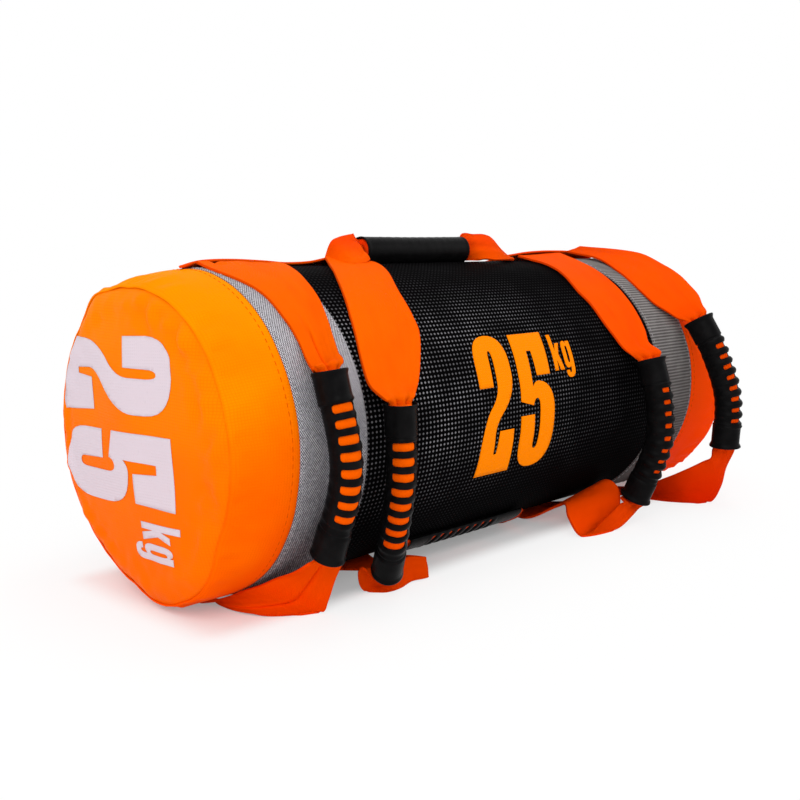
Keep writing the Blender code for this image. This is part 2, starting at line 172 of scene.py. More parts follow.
class Finish(Sock):
    # a material that is being made: its surface places and its shader
    def __init__(self, name, roughness, specular=0.5, tint=(1.0, 1.0, 1.0)):
        self.material = bpy.data.materials.new(name)
        self.material.use_nodes = True
        super().__init__(self.material.node_tree)
        self.shader = self.tree.nodes["Principled BSDF"]
        self.shader.inputs["Roughness"].default_value = roughness
        self.shader.inputs["Specular IOR Level"].default_value = specular
        self.shader.inputs["Specular Tint"].default_value = (*tint, 1.0)

    def solid(self):
        return self.node("TexCoord", {}, {}, out=3)

    def laid(self):
        # metres along and across the surface, from the piece's own UV map
        place = self.node("UVMap", {"uv_map": "laid"}, {})
        split = self.node("SeparateXYZ", {}, {0: place})
        return split, split.twin(1)

    def places(self):
        # metres along the bag and above the floor
        split = self.node("SeparateXYZ", {}, {0: self.solid()})
        return split, split.twin(2)

    def clouds(self, scale, place=None, detail=2.0):
        values = {"Vector": place or self.solid(), "Scale": scale, "Detail": detail, "Roughness": 0.5}
        return self.node("TexNoise", {}, values)

    def stretched(self, u, v):
        return self.node("CombineXYZ", {}, {0: u, 1: v})

    def paint(self, colour):
        self.feed(self.shader.inputs["Base Color"], colourOf(colour))

    def dull(self, roughness):
        self.feed(self.shader.inputs["Roughness"], roughness)

    def bump(self, height, distance):
        values = {"Height": height, "Distance": distance, "Strength": 1.0}
        self.feed(self.shader.inputs["Normal"], self.node("Bump", {}, values))


blackPvc = {
    "deep": (0.0016, 0.0014, 0.0016),
    # the knots' pale colour is a painted highlight: glints of light on the knots
    "paintedLight": (0.25, 0.245, 0.26),
    "meshAlong": 0.0039,
    "meshRound": 0.0037142,
    "knot": (0.30, 0.92),
    # the painted highlights on its knots fade at the right, high up and low down: from where to where, and
    # how much
    "paintedGlintFadeRight": (-0.12, 0.15, 1.0, 0.14),
    "paintedGlintFadeHigh": (0.190, 0.232, 1.0, 0.10),
    "paintedGlintFadeLow": (0.045, 0.125, 0.08, 1.0),
    "creasesAlong": 16.0,
    "creasesRound": 90.0,
    "relief": 0.00026,
}


def makeBlackPvc():
    finish = Finish("embossed black PVC", 0.46, specular=0.001)
    u, v = finish.laid()
    along, height = finish.places()
    # rows of small raised knots, as a mesh scrim pressed into the film leaves
    knots = 0.5 * (u.cosine(blackPvc["meshAlong"]) + v.cosine(blackPvc["meshRound"]))
    knot = knots.between(*blackPvc["knot"])
    # the worn clouds vary its roughness and also how strong the knots' painted highlights are
    worn = finish.clouds(40.0, detail=3.0).between(0.30, 0.75)
    paintedGlintShare = along.between(*blackPvc["paintedGlintFadeRight"]) * height.between(*blackPvc["paintedGlintFadeHigh"])
    paintedGlintShare = paintedGlintShare * height.between(*blackPvc["paintedGlintFadeLow"])
    # painted highlight: the knots' pale colour, faded where light would not catch them
    light = knot * (0.35 + 0.65 * worn) * paintedGlintShare
    finish.paint(light.blendColours(blackPvc["deep"], blackPvc["paintedLight"]))
    finish.dull(0.46 - 0.12 * knot + 0.10 * worn)
    stretched = finish.stretched(u * blackPvc["creasesAlong"], v * blackPvc["creasesRound"])
    finish.bump(knots.between(-0.2, 1.0) + 1.2 * finish.clouds(1.0, stretched), blackPvc["relief"])
    return finish.material


orangePvc = {
    "grid": 0.0021,
    "tint": (1.0, 0.62, 0.30),
    "cell": (0.80, 0.06, 0.0),
    "heightTo": 0.24,  # its colour goes from the darker low one to the lighter high one up to here, as painted light
    "far": (-0.26, 0.30),
    "relief": 0.00022,
}

# the colours high up and low down carry painted light and shade, lighter high up and darker low down; first
# at the left end and then, as far ones in painted shade, darker and redder at the right end
orangeShades = {
    "orange PVC skirt": {
        "specular": 0.004,
        "high": (1.0, 0.28, 0.0),
        "low": (1.0, 0.103, 0.0),
        "paintedShadeFarHigh": (1.0, 0.075, 0.0),
        "paintedShadeFarLow": (1.0, 0.055, 0.0),
    },
    "orange PVC end": {
        "specular": 0.018,
        "high": (1.0, 0.235, 0.0),
        "low": (1.0, 0.150, 0.0),
        "paintedShadeFarHigh": (1.0, 0.085, 0.0),
        "paintedShadeFarLow": (1.0, 0.06, 0.0),
    },
}


def makeOrangePvc(name):
    shades = orangeShades[name]
    finish = Finish(name, 0.38, specular=shades["specular"], tint=orangePvc["tint"])
    u, v = finish.laid()
    grid = u.cosine(orangePvc["grid"]).largest(v.cosine(orangePvc["grid"]))
    along, height = finish.places()
    faded = finish.clouds(14.0, detail=3.0).between(0.3, 0.7)
    # painted light and shade: lighter higher up and darker low down, with some random tone from the faded
    # clouds
    share = (height / orangePvc["heightTo"] * 0.80 + faded * 0.20).between(0.15, 0.95)
    near = share.blendColours(shades["low"], shades["high"])
    far = share.blendColours(shades["paintedShadeFarLow"], shades["paintedShadeFarHigh"])
    # painted shade: towards the right end it turns darker and redder
    shaded = along.between(*orangePvc["far"]).blendColours(near, far)
    cell = grid.between(0.55, 1.0)
    finish.paint((cell * (0.06 + 0.10 * faded)).blendColours(shaded, orangePvc["cell"]))
    finish.dull(0.36 + 0.10 * cell + 0.10 * faded)
    finish.bump(0.0 - cell * 0.5 + 1.2 * finish.clouds(160.0, detail=1.0), orangePvc["relief"])
    return finish.material


greyWebbing = {
    "light": (0.80, 0.78, 0.83),
    "dark": (0.055, 0.052, 0.060),
    "ribbedLight": (0.31, 0.29, 0.28),
    "ribbedDark": (0.075, 0.066, 0.066),
    "yarn": 0.0016,
    "pick": 0.0022,
    "rib": 0.0030,
    "relief": 0.00035,
}


def makeSpeckledWebbing():
    # a plain weave of light yarns over dark ones
    finish = Finish("speckled grey webbing", 0.75, specular=0.01)
    u, v = finish.laid()
    height = finish.places()[1]
    weave = u.cosine(greyWebbing["yarn"]) * v.cosine(greyWebbing["pick"])
    mixed = finish.clouds(520.0)
    # painted light: the webbing is lighter higher up
    paintedLight = 0.55 + 0.45 * height.between(0.02, 0.20)
    shade = weave.between(-0.75, 0.85) * paintedLight + 0.7 * (mixed - 0.5)
    finish.paint(shade.between(0.0, 1.0).blendColours(greyWebbing["dark"], greyWebbing["light"]))
    finish.bump(weave + 0.6 * mixed, greyWebbing["relief"])
    return finish.material


def makeRibbedWebbing():
    # the same webbing seen from its plainer side: mid-grey, with fine ribs across it
    finish = Finish("ribbed grey webbing", 0.7, specular=0.01)
    u, v = finish.laid()
    height = finish.places()[1]
    ribs = v.cosine(greyWebbing["rib"])
    weave = u.cosine(greyWebbing["yarn"])
    faded = finish.clouds(60.0, detail=3.0)
    # painted light: the webbing is lighter higher up
    paintedLight = 0.45 + 0.55 * height.between(0.05, 0.22)
    shade = (0.50 + 0.30 * ribs + 0.14 * weave + 0.5 * (faded - 0.5)) * paintedLight
    finish.paint(shade.between(0.0, 1.0).blendColours(greyWebbing["ribbedDark"], greyWebbing["ribbedLight"]))
    finish.bump(ribs + 0.4 * weave, greyWebbing["relief"])
    return finish.material


# its colours carry painted light and shade: lighter at the left and darker to the right, darker and redder
# low down near the floor, darkest low at the right; it is also redder on the crest
orangeWebbing = {
    "left": (1.0, 0.128, 0.0),
    "right": (1.0, 0.082, 0.0),
    "low": (1.0, 0.060, 0.0),
    "paintedShadeLowRight": (0.74, 0.012, 0.0),
    "crest": (1.0, 0.065, 0.002),
    "yarnAlong": 0.0017,
    "yarnAcross": 0.0012,
    # the colour of painted shade in its folds, also used for its darker selvages
    "shaded": (0.70, 0.022, 0.0),
    "halfWidth": 0.0235,
    "selvage": 0.0012,
    "relief": 0.00018,
}


def makeOrangeWebbing():
    finish = Finish("orange webbing", 0.62, specular=0.01, tint=(1.0, 0.6, 0.3))
    u, v = finish.laid()
    along, height = finish.places()
    weave = u.cosine(orangeWebbing["yarnAlong"]) * v.cosine(orangeWebbing["yarnAcross"])
    faded = finish.clouds(45.0, detail=3.0)
    soft = finish.clouds(13.0)
    # painted light and shade by where the webbing lies: lighter at the left and high up, darker to the right
    # and low down
    upper = along.between(-0.25, 0.22).blendColours(orangeWebbing["left"], orangeWebbing["right"])
    lower = along.between(0.17, 0.25).blendColours(orangeWebbing["low"], orangeWebbing["paintedShadeLowRight"])
    body = height.between(-0.03, 0.13).blendColours(lower, upper)
    body = height.between(0.243, 0.262).blendColours(body, orangeWebbing["crest"])
    # painted shade in its folds: the folds' bump clouds, with random clouds and weave, darken it towards the
    # shaded colour
    folds = finish.clouds(1.0, finish.stretched(u * 16.0, v * 75.0))
    shade = 0.26 - 0.14 * weave - 0.5 * (faded - 0.5) - 0.8 * (soft - 0.5) - 1.1 * (folds - 0.5)
    shade = shade.between(0.0, 1.0)
    # selvages are woven tighter, so they look darker
    rim = orangeWebbing["halfWidth"]
    edge = finish.maths("ABSOLUTE", v).between(rim - orangeWebbing["selvage"], rim)
    finish.paint((shade * 0.36).largest(edge * 0.45).blendColours(body, orangeWebbing["shaded"]))
    finish.dull(0.58 + 0.14 * faded)
    finish.bump(weave - 0.6 * edge + 7.0 * folds, orangeWebbing["relief"])
    return finish.material


gripRubber = {"colour": (0.0035, 0.0033, 0.0035), "worn": (0.0060, 0.0057, 0.0060)}


def makeGripRubber():
    finish = Finish("satin black rubber", 0.32, specular=0.03)
    rubbed = finish.clouds(120.0, detail=4.0).between(0.35, 0.75)
    finish.paint(rubbed.blendColours(gripRubber["colour"], gripRubber["worn"]))
    finish.dull(0.30 + 0.06 * rubbed)
    finish.bump(finish.clouds(1800.0, detail=2.0), 0.00012)
    return finish.material


def makePrint(name, colour):
    finish = Finish(name, 0.45, specular=0.01)
    u, v = finish.laid()
    thin = finish.clouds(240.0, detail=4.0).between(0.60, 0.78)
    finish.paint((thin * 0.16).blendColours(colour, tuple(part * 0.72 for part in colour)))
    finish.dull(0.42 + 0.12 * thin)
    finish.bump(u.cosine(0.0021).largest(v.cosine(0.0021)), 0.00010)
    return finish.material


def makeThread(name, colour):
    finish = Finish(name, 0.6, specular=0.01)
    fuzz = finish.clouds(900.0, detail=2.0)
    finish.paint(fuzz.between(0.3, 0.7).blendColours(tuple(part * 0.7 for part in colour), colour))
    finish.bump(fuzz, 0.0001)
    return finish.material


def makeSleeveCloth():
    finish = Finish("sleeve cloth", 0.9, specular=0.2)
    along, height = finish.places()
    weave = along.cosine(0.0016) * height.cosine(0.0016)
    finish.paint(weave.between(-1.0, 1.0).blendColours((0.40, 0.39, 0.35), (0.62, 0.60, 0.55)))
    finish.bump(weave, 0.0002)
    return finish.material


def makeSand():
    finish = Finish("sand", 1.0, specular=0.2)
    grains = finish.clouds(900.0, detail=4.0)
    finish.paint(grains.between(0.3, 0.7).blendColours((0.36, 0.26, 0.15), (0.72, 0.58, 0.38)))
    finish.bump(grains, 0.0004)
    return finish.material


blackPvcFinish = makeBlackPvc()
skirtFinish = makeOrangePvc("orange PVC skirt")
panelFinish = makeOrangePvc("orange PVC end")
speckledFinish = makeSpeckledWebbing()
ribbedFinish = makeRibbedWebbing()
webbingFinish = makeOrangeWebbing()
rubberFinish = makeGripRubber()
whitePrint = makePrint("pale print", (0.70, 0.60, 0.66))
orangePrint = makePrint("orange print", (1.0, 0.235, 0.0))
seamThread = makeThread("orange thread", (0.78, 0.085, 0.0))
greyThread = makeThread("grey thread", (0.42, 0.40, 0.42))
sleeveFinish = makeSleeveCloth()
sandFinish = makeSand()
print("finishes made")


def addPiece(name, bm, finish, body=None, nodes=()):
    mesh = bpy.data.meshes.new(name)
    bm.to_mesh(mesh)
    bm.free()
    mesh.materials.append(finish)
    mesh.shade_smooth()
    obj = bpy.data.objects.new(name, mesh)
    bpy.context.scene.collection.objects.link(obj)
    if body:
        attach(obj, body)
    if nodes:
        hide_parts(*nodes)
    return obj


def addWall(obj, thickness, offset=-1.0):
    solidify = obj.modifiers.new("wall", "SOLIDIFY")
    solidify.thickness = thickness
    solidify.offset = offset


# gives every face corner its place on the surface in metres; a period closes the pattern round the bag
def layUv(bm, placeOf, period=None):
    layer = bm.loops.layers.uv.new("laid")
    for face in bm.faces:
        places = [placeOf(loop.vert.co) for loop in face.loops]
        highest = max(v for u, v in places)
        for loop, (u, v) in zip(face.loops, places):
            if period and highest - v > period / 2:
                v += period
            loop[layer].uv = (u, v)


def smoothStep(value, low, high):
    share = min(max((value - low) / (high - low), 0.0), 1.0)
    return share * share * (3 - 2 * share)


def bell(value, middle, reach):
    return math.exp(-(((value - middle) / reach) ** 2))


def wave(x, y, z=0.0):
    return noise.noise(Vector((x, y, z)))


rumples = {
    "tube": 0.0005,
    "skirt": 0.0009,
    "panel": 0.0028,
    "pucker": 0.0028,
    "puff": 0.0020,  # the end panel's puffy rim
    "cornerAngle": 118.5,  # a fold of the left end stands out here
    "cornerReach": 9.0,
    "corner": 0.0052,
    "rounding": 0.0016,  # how far the two sides of an end seam draw in
    "seamStep": 0.0004,
}


def angleOf(co):
    return math.atan2(co.z - bag["axisZ"], -co.y)


def endOf(x):
    return ends[1 if x > 0 else -1]


def shoulderShare(x):
    return min(max((abs(x) - bag["bandOuter"]) / (endOf(x)["seamX"] - bag["bandOuter"]), 0.0), 1.0)


# the left end is not quite round: a fold stands out over the back of its crest, and its back is fuller
def leftFold(x, angle):
    if x > 0:
        return 0.0
    turned = math.degrees(angle) % 360
    fold = rumples["corner"] * bell(turned, rumples["cornerAngle"], rumples["cornerReach"])
    crest = 0.0010 * smoothStep(turned, 86, 106) * (1 - smoothStep(turned, 118, 150))
    back = 0.0016 * smoothStep(turned, 130, 150) * (1 - smoothStep(turned, 190, 215))
    back += 0.0020 * (bell(turned, 200, 14) - bell(turned, 240, 14))
    front = 0.0012 * smoothStep(math.cos(math.radians(turned - 20)), 0.64, 0.87)
    return fold + crest + back + front


def taperAt(x, angle):
    # how much a shoulder has narrowed where it meets its end panel
    end = endOf(x)
    full = end["seamRadius"] + end["lowGain"] * smoothStep(-math.sin(angle), -0.45, 0.25)
    low = smoothStep(math.cos(angle - math.radians(end["fullAt"])), *end["fullFrom"])
    return (bag["radius"] - full) * (1 - bag["lowFill"] * low)


def seamRadius(x, angle):
    return bag["radius"] - taperAt(x, angle) + leftFold(x, angle)


def coverRadius(x, angle):
    share = shoulderShare(x)
    radius = bag["radius"] - taperAt(x, angle) * share ** endOf(x)["taper"] + leftFold(x, angle) * share**5
    a, b = math.cos(angle) * 3.0, math.sin(angle) * 3.0
    radius += rumples["tube"] * wave(x * 14, a * 1.6, b * 1.6)
    radius += rumples["skirt"] * share * wave(x * 30 + 7, a * 3, b * 3)
    puckers = wave(x * 26 + 3, a * 6, b * 6)
    radius += rumples["pucker"] * smoothStep(share, 0.45, 0.80) * (1 - smoothStep(share, 0.88, 1.0)) * puckers
    return radius - rumples["rounding"] * smoothStep(share, 0.90, 1.0) ** 2


def endX(side, angle, share):
    # how far out an end panel is, at a share of the way from its centre to the seam
    end = ends[side]
    bulge = end["crown"] * (1 - share**2.5) - rumples["rounding"] * smoothStep(share, 0.94, 1.0) ** 2
    bulge += rumples["puff"] * bell(share, 0.90, 0.055)
    a, b = math.cos(angle) * share, math.sin(angle) * share
    dents = rumples["panel"] * wave(a * 2.4 + side * 4, b * 2.4, 1.5) * (1 - share**6)
    puckers = rumples["pucker"] * wave(a * 9 + side * 9, b * 9) * smoothStep(share, 0.66, 0.88)
    puckers *= 1 - share**24
    puckers *= 1 + smoothStep(math.cos(angle - 0.6), 0.3, 0.9)
    return side * (end["seamX"] + 0.0004 + bulge + dents + puckers)


def lowestAt(x):
    sag = bag["endUnderside"] - bag["underside"]
    return bag["underside"] + sag * smoothStep(abs(x), bag["sagFrom"], bag["sagTo"])


# turns chains of (x, radius) once round a level axis at a height
def turnedRound(chains, height, steps, merge):
    bm = bmesh.new()
    verts, edges = [], []
    for chain in chains:
        made = [bm.verts.new((x, 0.0, height + radius)) for x, radius in chain]
        verts += made
        edges += [bm.edges.new(pair) for pair in zip(made, made[1:])]
    turn = {"cent": (0.0, 0.0, height), "axis": (1.0, 0.0, 0.0), "angle": math.tau, "steps": steps}
    bmesh.ops.spin(bm, geom=verts + edges, use_merge=True, **turn)
    bmesh.ops.remove_doubles(bm, verts=bm.verts, dist=merge)
    return bm


def spun(profile):
    bm = turnedRound([profile], bag["axisZ"], bag["steps"], 1e-5)
    bmesh.ops.recalc_face_normals(bm, faces=bm.faces)
    return bm


def roundPlace(x, angle, radius):
    return Vector((x, -radius * math.cos(angle), bag["axisZ"] + radius * math.sin(angle)))


def settle(vert, angle, radius, lowest):
    # puts a vertex of the cover at that radius, and no lower than it can sag there
    vert.co.y = -radius * math.cos(angle)
    vert.co.z = max(bag["axisZ"] + radius * math.sin(angle), lowest)


def addCover(name, bm, finish, wall):
    obj = addPiece(name + "_shell", bm, finish, "bag", [name])
    addWall(obj, wall)


def roundUv(bm):
    layUv(bm, lambda co: (co.x, angleOf(co) * bag["radius"]), math.tau * bag["radius"])


def makeTube():
    # its two edges go under the bands
    reach = bag["bandInner"] + 0.004
    bm = spun([(reach * (index / 68 - 1), bag["radius"]) for index in range(137)])
    for vert in bm.verts:
        angle = angleOf(vert.co)
        radius = coverRadius(vert.co.x, angle)
        radius -= 0.0012 * smoothStep(abs(vert.co.x) - bag["bandInner"], -0.0016, 0.0002)
        settle(vert, angle, radius, bag["underside"])
    roundUv(bm)
    addCover("body_tube", bm, blackPvcFinish, 0.0013)


def makeBand(side, sign, finish):
    start, end = bag["bandInner"], bag["bandOuter"]
    bm = spun([(sign * (start + (end - start) * index / 96), bag["radius"]) for index in range(97)])
    for vert in bm.verts:
        angle = angleOf(vert.co)
        near = min(abs(vert.co.x) - start, end - abs(vert.co.x))
        radius = coverRadius(vert.co.x, angle) + 0.0007 - 0.0006 * (1 - smoothStep(near, 0.0, 0.0013))
        settle(vert, angle, radius, bag["underside"] - 0.0005)
    roundUv(bm)
    addCover(side + "_band", bm, finish, 0.0010)


def makeSkirt(side, sign):
    start, end = bag["bandOuter"] - 0.004, ends[sign]["seamX"]
    xs = [start + (end - start) * index / 34 for index in range(35)]
    lip = [(sign * (end + 0.0001), bag["radius"] - 0.0005), (sign * (end - 0.0005), bag["radius"] - 0.0013)]
    bm = spun([(sign * x, bag["radius"]) for x in xs] + lip)
    for vert in bm.verts:
        x, angle = abs(vert.co.x), angleOf(vert.co)
        inward = bag["radius"] - math.hypot(vert.co.y, vert.co.z - bag["axisZ"])
        radius = coverRadius(vert.co.x, angle) - inward
        radius -= 0.0008 * smoothStep(bag["bandOuter"] - x, -0.0016, 0.0002)
        settle(vert, angle, radius, lowestAt(x))
    roundUv(bm)
    addCover(side + "_skirt", bm, skirtFinish, 0.0013)


def onPanel(sign, y, z):
    # the place on an end panel's outside over (y, z), kept inside its seam
    angle = math.atan2(z - bag["axisZ"], -y)
    rim = seamRadius(sign * ends[sign]["seamX"], angle) - rumples["rounding"] - rumples["seamStep"]
    share = min(math.hypot(y, z - bag["axisZ"]) / rim, 0.985)
    return roundPlace(endX(sign, angle, share), angle, share * rim)


def makePanel(side, sign):
    shares = [1.0, 0.996, 0.99, 0.982, 0.97, 0.955, 0.938] + [0.92 * (1 - index / 40) for index in range(41)]
    seamX = sign * ends[sign]["seamX"]
    bm = spun([(seamX, bag["radius"] * share) for share in shares])
    for vert in bm.verts:
        share = math.hypot(vert.co.y, vert.co.z - bag["axisZ"]) / bag["radius"]
        angle = angleOf(vert.co)
        radius = (seamRadius(seamX, angle) - rumples["rounding"] - rumples["seamStep"]) * share
        vert.co.x = endX(sign, angle, share) - sign * 0.0007 * smoothStep(share, 0.988, 1.0)
        settle(vert, angle, radius, bag["endUnderside"] + 0.0006)
    layUv(bm, lambda co: (co.y, co.z))
    addCover(side + "_end_panel", bm, panelFinish, 0.0013)


def makeCover():
    makeTube()
    for side, sign, bandFinish in (("left", -1, speckledFinish), ("right", 1, ribbedFinish)):
        makeBand(side, sign, bandFinish)
        makeSkirt(side, sign)
        makePanel(side, sign)


makeCover()
print("cover spun")

# plain numerals drawn here, in a unit box; a third value marks the control point of a curve
glyphs = {
    "2": [[(0, 0), (1.02, 0), (0.98, 0.32), (0.55, 0.32), (0.51, 0.155), (0.43, 0.155), (0.42, 0.30),
           (0.43, 0.37, 1), (0.60, 0.43), (1, 0.56, 1), (1, 0.72), (1, 0.80), (1, 1, 1), (0.52, 1),
           (0.02, 1, 1), (0, 0.80), (0, 0.63), (0.40, 0.63), (0.42, 0.82), (0.43, 0.885, 1), (0.49, 0.885),
           (0.54, 0.885, 1), (0.54, 0.80), (0.53, 0.66), (0.52, 0.57, 1), (0.34, 0.50), (0.04, 0.40, 1),
           (0.02, 0.18)]],
    "5": [[(0.02, 1), (0.98, 1), (0.95, 0.68), (0.55, 0.68), (0.53, 0.865), (0.40, 0.865), (0.38, 0.60),
           (0.46, 0.65, 1), (0.60, 0.64), (1, 0.62, 1), (1, 0.42), (1, 0.24), (1, 0, 1), (0.50, 0),
           (0, 0, 1), (0, 0.22), (0, 0.405), (0.40, 0.405), (0.42, 0.20), (0.42, 0.145, 1), (0.50, 0.145),
           (0.57, 0.145, 1), (0.57, 0.22), (0.57, 0.44), (0.57, 0.52, 1), (0.48, 0.52), (0.40, 0.52, 1),
           (0.37, 0.47), (0, 0.51)]],
    "k": [[(0, 0), (0, 1), (0.38, 1), (0.38, 0.52), (0.60, 0.74), (1, 0.74), (0.68, 0.44), (1.03, 0),
           (0.60, 0), (0.38, 0.30), (0.38, 0)]],
    "g": [[(1, 0.74), (1, -0.05), (1, -0.26, 1), (0.5, -0.26), (0.04, -0.26, 1), (0.04, -0.06),
           (0.38, -0.06), (0.40, -0.13, 1), (0.5, -0.13), (0.62, -0.13, 1), (0.62, -0.02), (0.62, 0.05),
           (0.50, 0, 1), (0.36, 0), (0, 0, 1), (0, 0.22), (0, 0.50), (0, 0.75, 1), (0.34, 0.75),
           (0.52, 0.75, 1), (0.62, 0.66), (0.62, 0.74)],
          [(0.38, 0.25), (0.38, 0.50), (0.38, 0.61, 1), (0.50, 0.61), (0.62, 0.61, 1), (0.62, 0.50),
           (0.62, 0.25), (0.62, 0.14, 1), (0.50, 0.14), (0.38, 0.14, 1)]],
}

# each character's left, right, foot and head, in metres
markings = {
    "front_mark": {
        "2": (-0.0668, -0.0262, -0.0463, 0.0684),
        "5": (-0.0182, 0.0256, -0.0473, 0.0670),
        "k": (0.0318, 0.0445, 0.0320, 0.0636),
        "g": (0.0466, 0.0592, 0.0330, 0.0646),
    },
    # along the bag's width and down its end, turned a little
    "end_mark": {
        "2": (-0.0747, -0.0205, -0.0940, 0.0565),
        "5": (-0.0080, 0.0446, -0.0950, 0.0545),
        "k": (0.0540, 0.0668, 0.0100, 0.0580),
        "g": (0.0690, 0.0818, 0.0100, 0.0580),
    },
    "turned": 3.5,
    "cell": 0.004,
    "proud": 0.00030,
}


def outlineOf(points, steps=7):
    # curves between the drawn points
    drawn = []
    for index, point in enumerate(points):
        if len(point) == 2:
            drawn.append(point)
            continue
        before, after = points[index - 1], points[(index + 1) % len(points)]
        for step in range(1, steps):
            t = step / steps
            drawn.append(tuple(
                before[k] * (1 - t) ** 2 + 2 * point[k] * t * (1 - t) + after[k] * t**2 for k in (0, 1)
            ))
    return drawn


def flatGlyph(contours, box):
    left, right, foot, head = box
    curve = bpy.data.curves.new("outline", "CURVE")
    curve.dimensions = "2D"
    curve.fill_mode = "BOTH"
    for contour in contours:
        points = outlineOf(contour)
        spline = curve.splines.new("POLY")
        spline.points.add(len(points) - 1)
        for place, (u, v) in zip(spline.points, points):
            place.co = (left + (right - left) * u, foot + (head - foot) * v, 0.0, 1.0)
        spline.use_cyclic_u = True
    obj = bpy.data.objects.new("outline", curve)
    bm = bmesh.new()
    bm.from_mesh(obj.to_mesh())
    obj.to_mesh_clear()
    bpy.data.objects.remove(obj)
    for axis in (0, 1):
        low = min(vert.co[axis] for vert in bm.verts)
        high = max(vert.co[axis] for vert in bm.verts)
        for cut in range(1, int((high - low) / markings["cell"]) + 1):
            place, normal = [0.0, 0.0, 0.0], [0.0, 0.0, 0.0]
            place[axis], normal[axis] = low + cut * markings["cell"], 1.0
            everything = bm.verts[:] + bm.edges[:] + bm.faces[:]
            bmesh.ops.bisect_plane(bm, geom=everything, plane_co=place, plane_no=normal, dist=1e-6)
    bmesh.ops.remove_doubles(bm, verts=bm.verts, dist=1e-6)
    return bm


def addMark(name, bm, finish, placeOf, outward):
    layUv(bm, lambda co: (co.x, co.y))
    for vert in bm.verts:
        vert.co = placeOf(vert.co)
    bm.normal_update()
    turned = [face for face in bm.faces if face.normal.dot(outward(face.calc_center_median())) < 0]
    bmesh.ops.reverse_faces(bm, faces=turned)
    obj = addPiece(name, bm, finish, "bag")
    addWall(obj, 0.00025, -0.6)


def makeMarkings():
    def onTube(co):
        angle = co.y / bag["radius"]
        return roundPlace(co.x, angle, coverRadius(co.x, angle) + markings["proud"])

    def onEnd(co):
        turned = math.radians(markings["turned"])
        y = -co.y * math.cos(turned) - co.x * math.sin(turned)
        z = bag["axisZ"] - co.x * math.cos(turned) + co.y * math.sin(turned)
        point = onPanel(-1, y, z)
        point.x -= markings["proud"] + 0.0001
        return point

    def fromAxis(co):
        return Vector((0, co.y, co.z - bag["axisZ"]))

    def toLeft(co):
        return Vector((-1, 0, 0))

    marks = {"front_mark": (orangePrint, onTube, fromAxis), "end_mark": (whitePrint, onEnd, toLeft)}
    for index, glyph in enumerate("25kg"):
        for name, (finish, placeOf, outward) in marks.items():
            bm = flatGlyph(glyphs[glyph], markings[name][glyph])
            addMark(f"{name}_{index}", bm, finish, placeOf, outward)


makeMarkings()
print("weight marked")

stitch = {"length": 0.0042, "gap": 0.0016, "radius": 0.00036, "sides": 5}


def addStitches(name, finish, spots):
    # short threads, each at a place with a direction and the surface's outward side
    bm = bmesh.new()
    profile = [(-0.5, 0.2, -0.5), (-0.36, 0.85, 0.0), (0.0, 1.0, 0.25), (0.36, 0.85, 0.0), (0.5, 0.2, -0.5)]
    for place, ahead, out in spots:
        side = ahead.cross(out)
        rings = []
        for along, wide, high in profile:
            middle = place + ahead * (along * stitch["length"]) + out * (high * stitch["radius"])
            ring = []
            for corner in range(stitch["sides"]):
                turn = math.tau * corner / stitch["sides"]
                offset = side * math.cos(turn) + out * math.sin(turn)
                ring.append(bm.verts.new(middle + offset * (wide * stitch["radius"])))
            rings.append(ring)
        for ring, after in zip(rings, rings[1:]):
            for a, b, c, d in zip(ring, ring[1:] + ring[:1], after[1:] + after[:1], after):
                bm.faces.new((a, b, c, d))
        bm.faces.new(rings[0][::-1])
        bm.faces.new(rings[-1])
    bmesh.ops.recalc_face_normals(bm, faces=bm.faces)
    bm.loops.layers.uv.new("laid")
    addPiece(name, bm, finish, "bag")


def ringOf(x, proud):
    count = round(math.tau * bag["radius"] / (stitch["length"] + stitch["gap"]))
    spots = []
    for index in range(count):
        angle = math.tau * index / count
        radius = coverRadius(x, angle) + proud
        out = Vector((0.0, -math.cos(angle), math.sin(angle)))
        place = Vector((x, 0.0, bag["axisZ"])) + out * radius
        if place.z > lowestAt(x) + 0.002:
            spots.append((place, Vector((0.0, math.sin(angle), math.cos(angle))), out))
    return spots


def makeStitches():
    for side, sign in (("left", -1), ("right", 1)):
        rows = {"band_inner": bag["bandInner"] + 0.003, "band_outer": bag["bandOuter"] - 0.003}
        for row, x in rows.items():
            addStitches(f"{side}_{row}_stitches", greyThread, ringOf(sign * x, 0.0007))
        addStitches(f"{side}_skirt_stitches", seamThread, ringOf(sign * (bag["bandOuter"] + 0.006), -0.00014))


makeStitches()
print("stitched")


webbing = {
    "thickness": 0.0019,
    "lift": 0.0018,  # from the cover to the middle of a strap that lies on it
    "laid": 0.1218,
    "mouthWidth": 0.0195,  # a strap's pleats fill a grip's mouth
    "neckWidth": 0.0245,
    "fullWidth": 0.047,
    "crease": 0.0011,
    "pleats": 2.5,
    "fold": 0.0020,  # how high the pleats stand at a grip's mouth
    "intoGrip": 0.0036,
}
laid = webbing["laid"]


def roundBag(place):
    x, degrees, radius = place
    return roundPlace(x, math.radians(degrees), radius)


def smoothPoint(points, share):
    spans = len(points) - 1
    first = min(int(share * spans), spans - 1)
    inside = share * spans - first
    start, end = points[first], points[first + 1]
    before, after = points[max(first - 1, 0)], points[min(first + 2, spans)]
    reach = (end - start).length / 3
    handle1 = start + (end - before).normalized() * reach
    handle2 = end - (after - start).normalized() * reach
    outside = 1 - inside
    return (start * outside**3 + handle1 * (3 * outside**2 * inside)
            + handle2 * (3 * outside * inside**2) + end * inside**3)


def stationShare(points, share):
    lengths = [(b - a).length for a, b in zip(points, points[1:])]
    left = share * sum(lengths)
    for station, length in enumerate(lengths):
        if left <= length or station == len(lengths) - 1:
            return (station + min(left / length, 1.0)) / len(lengths)
        left -= length


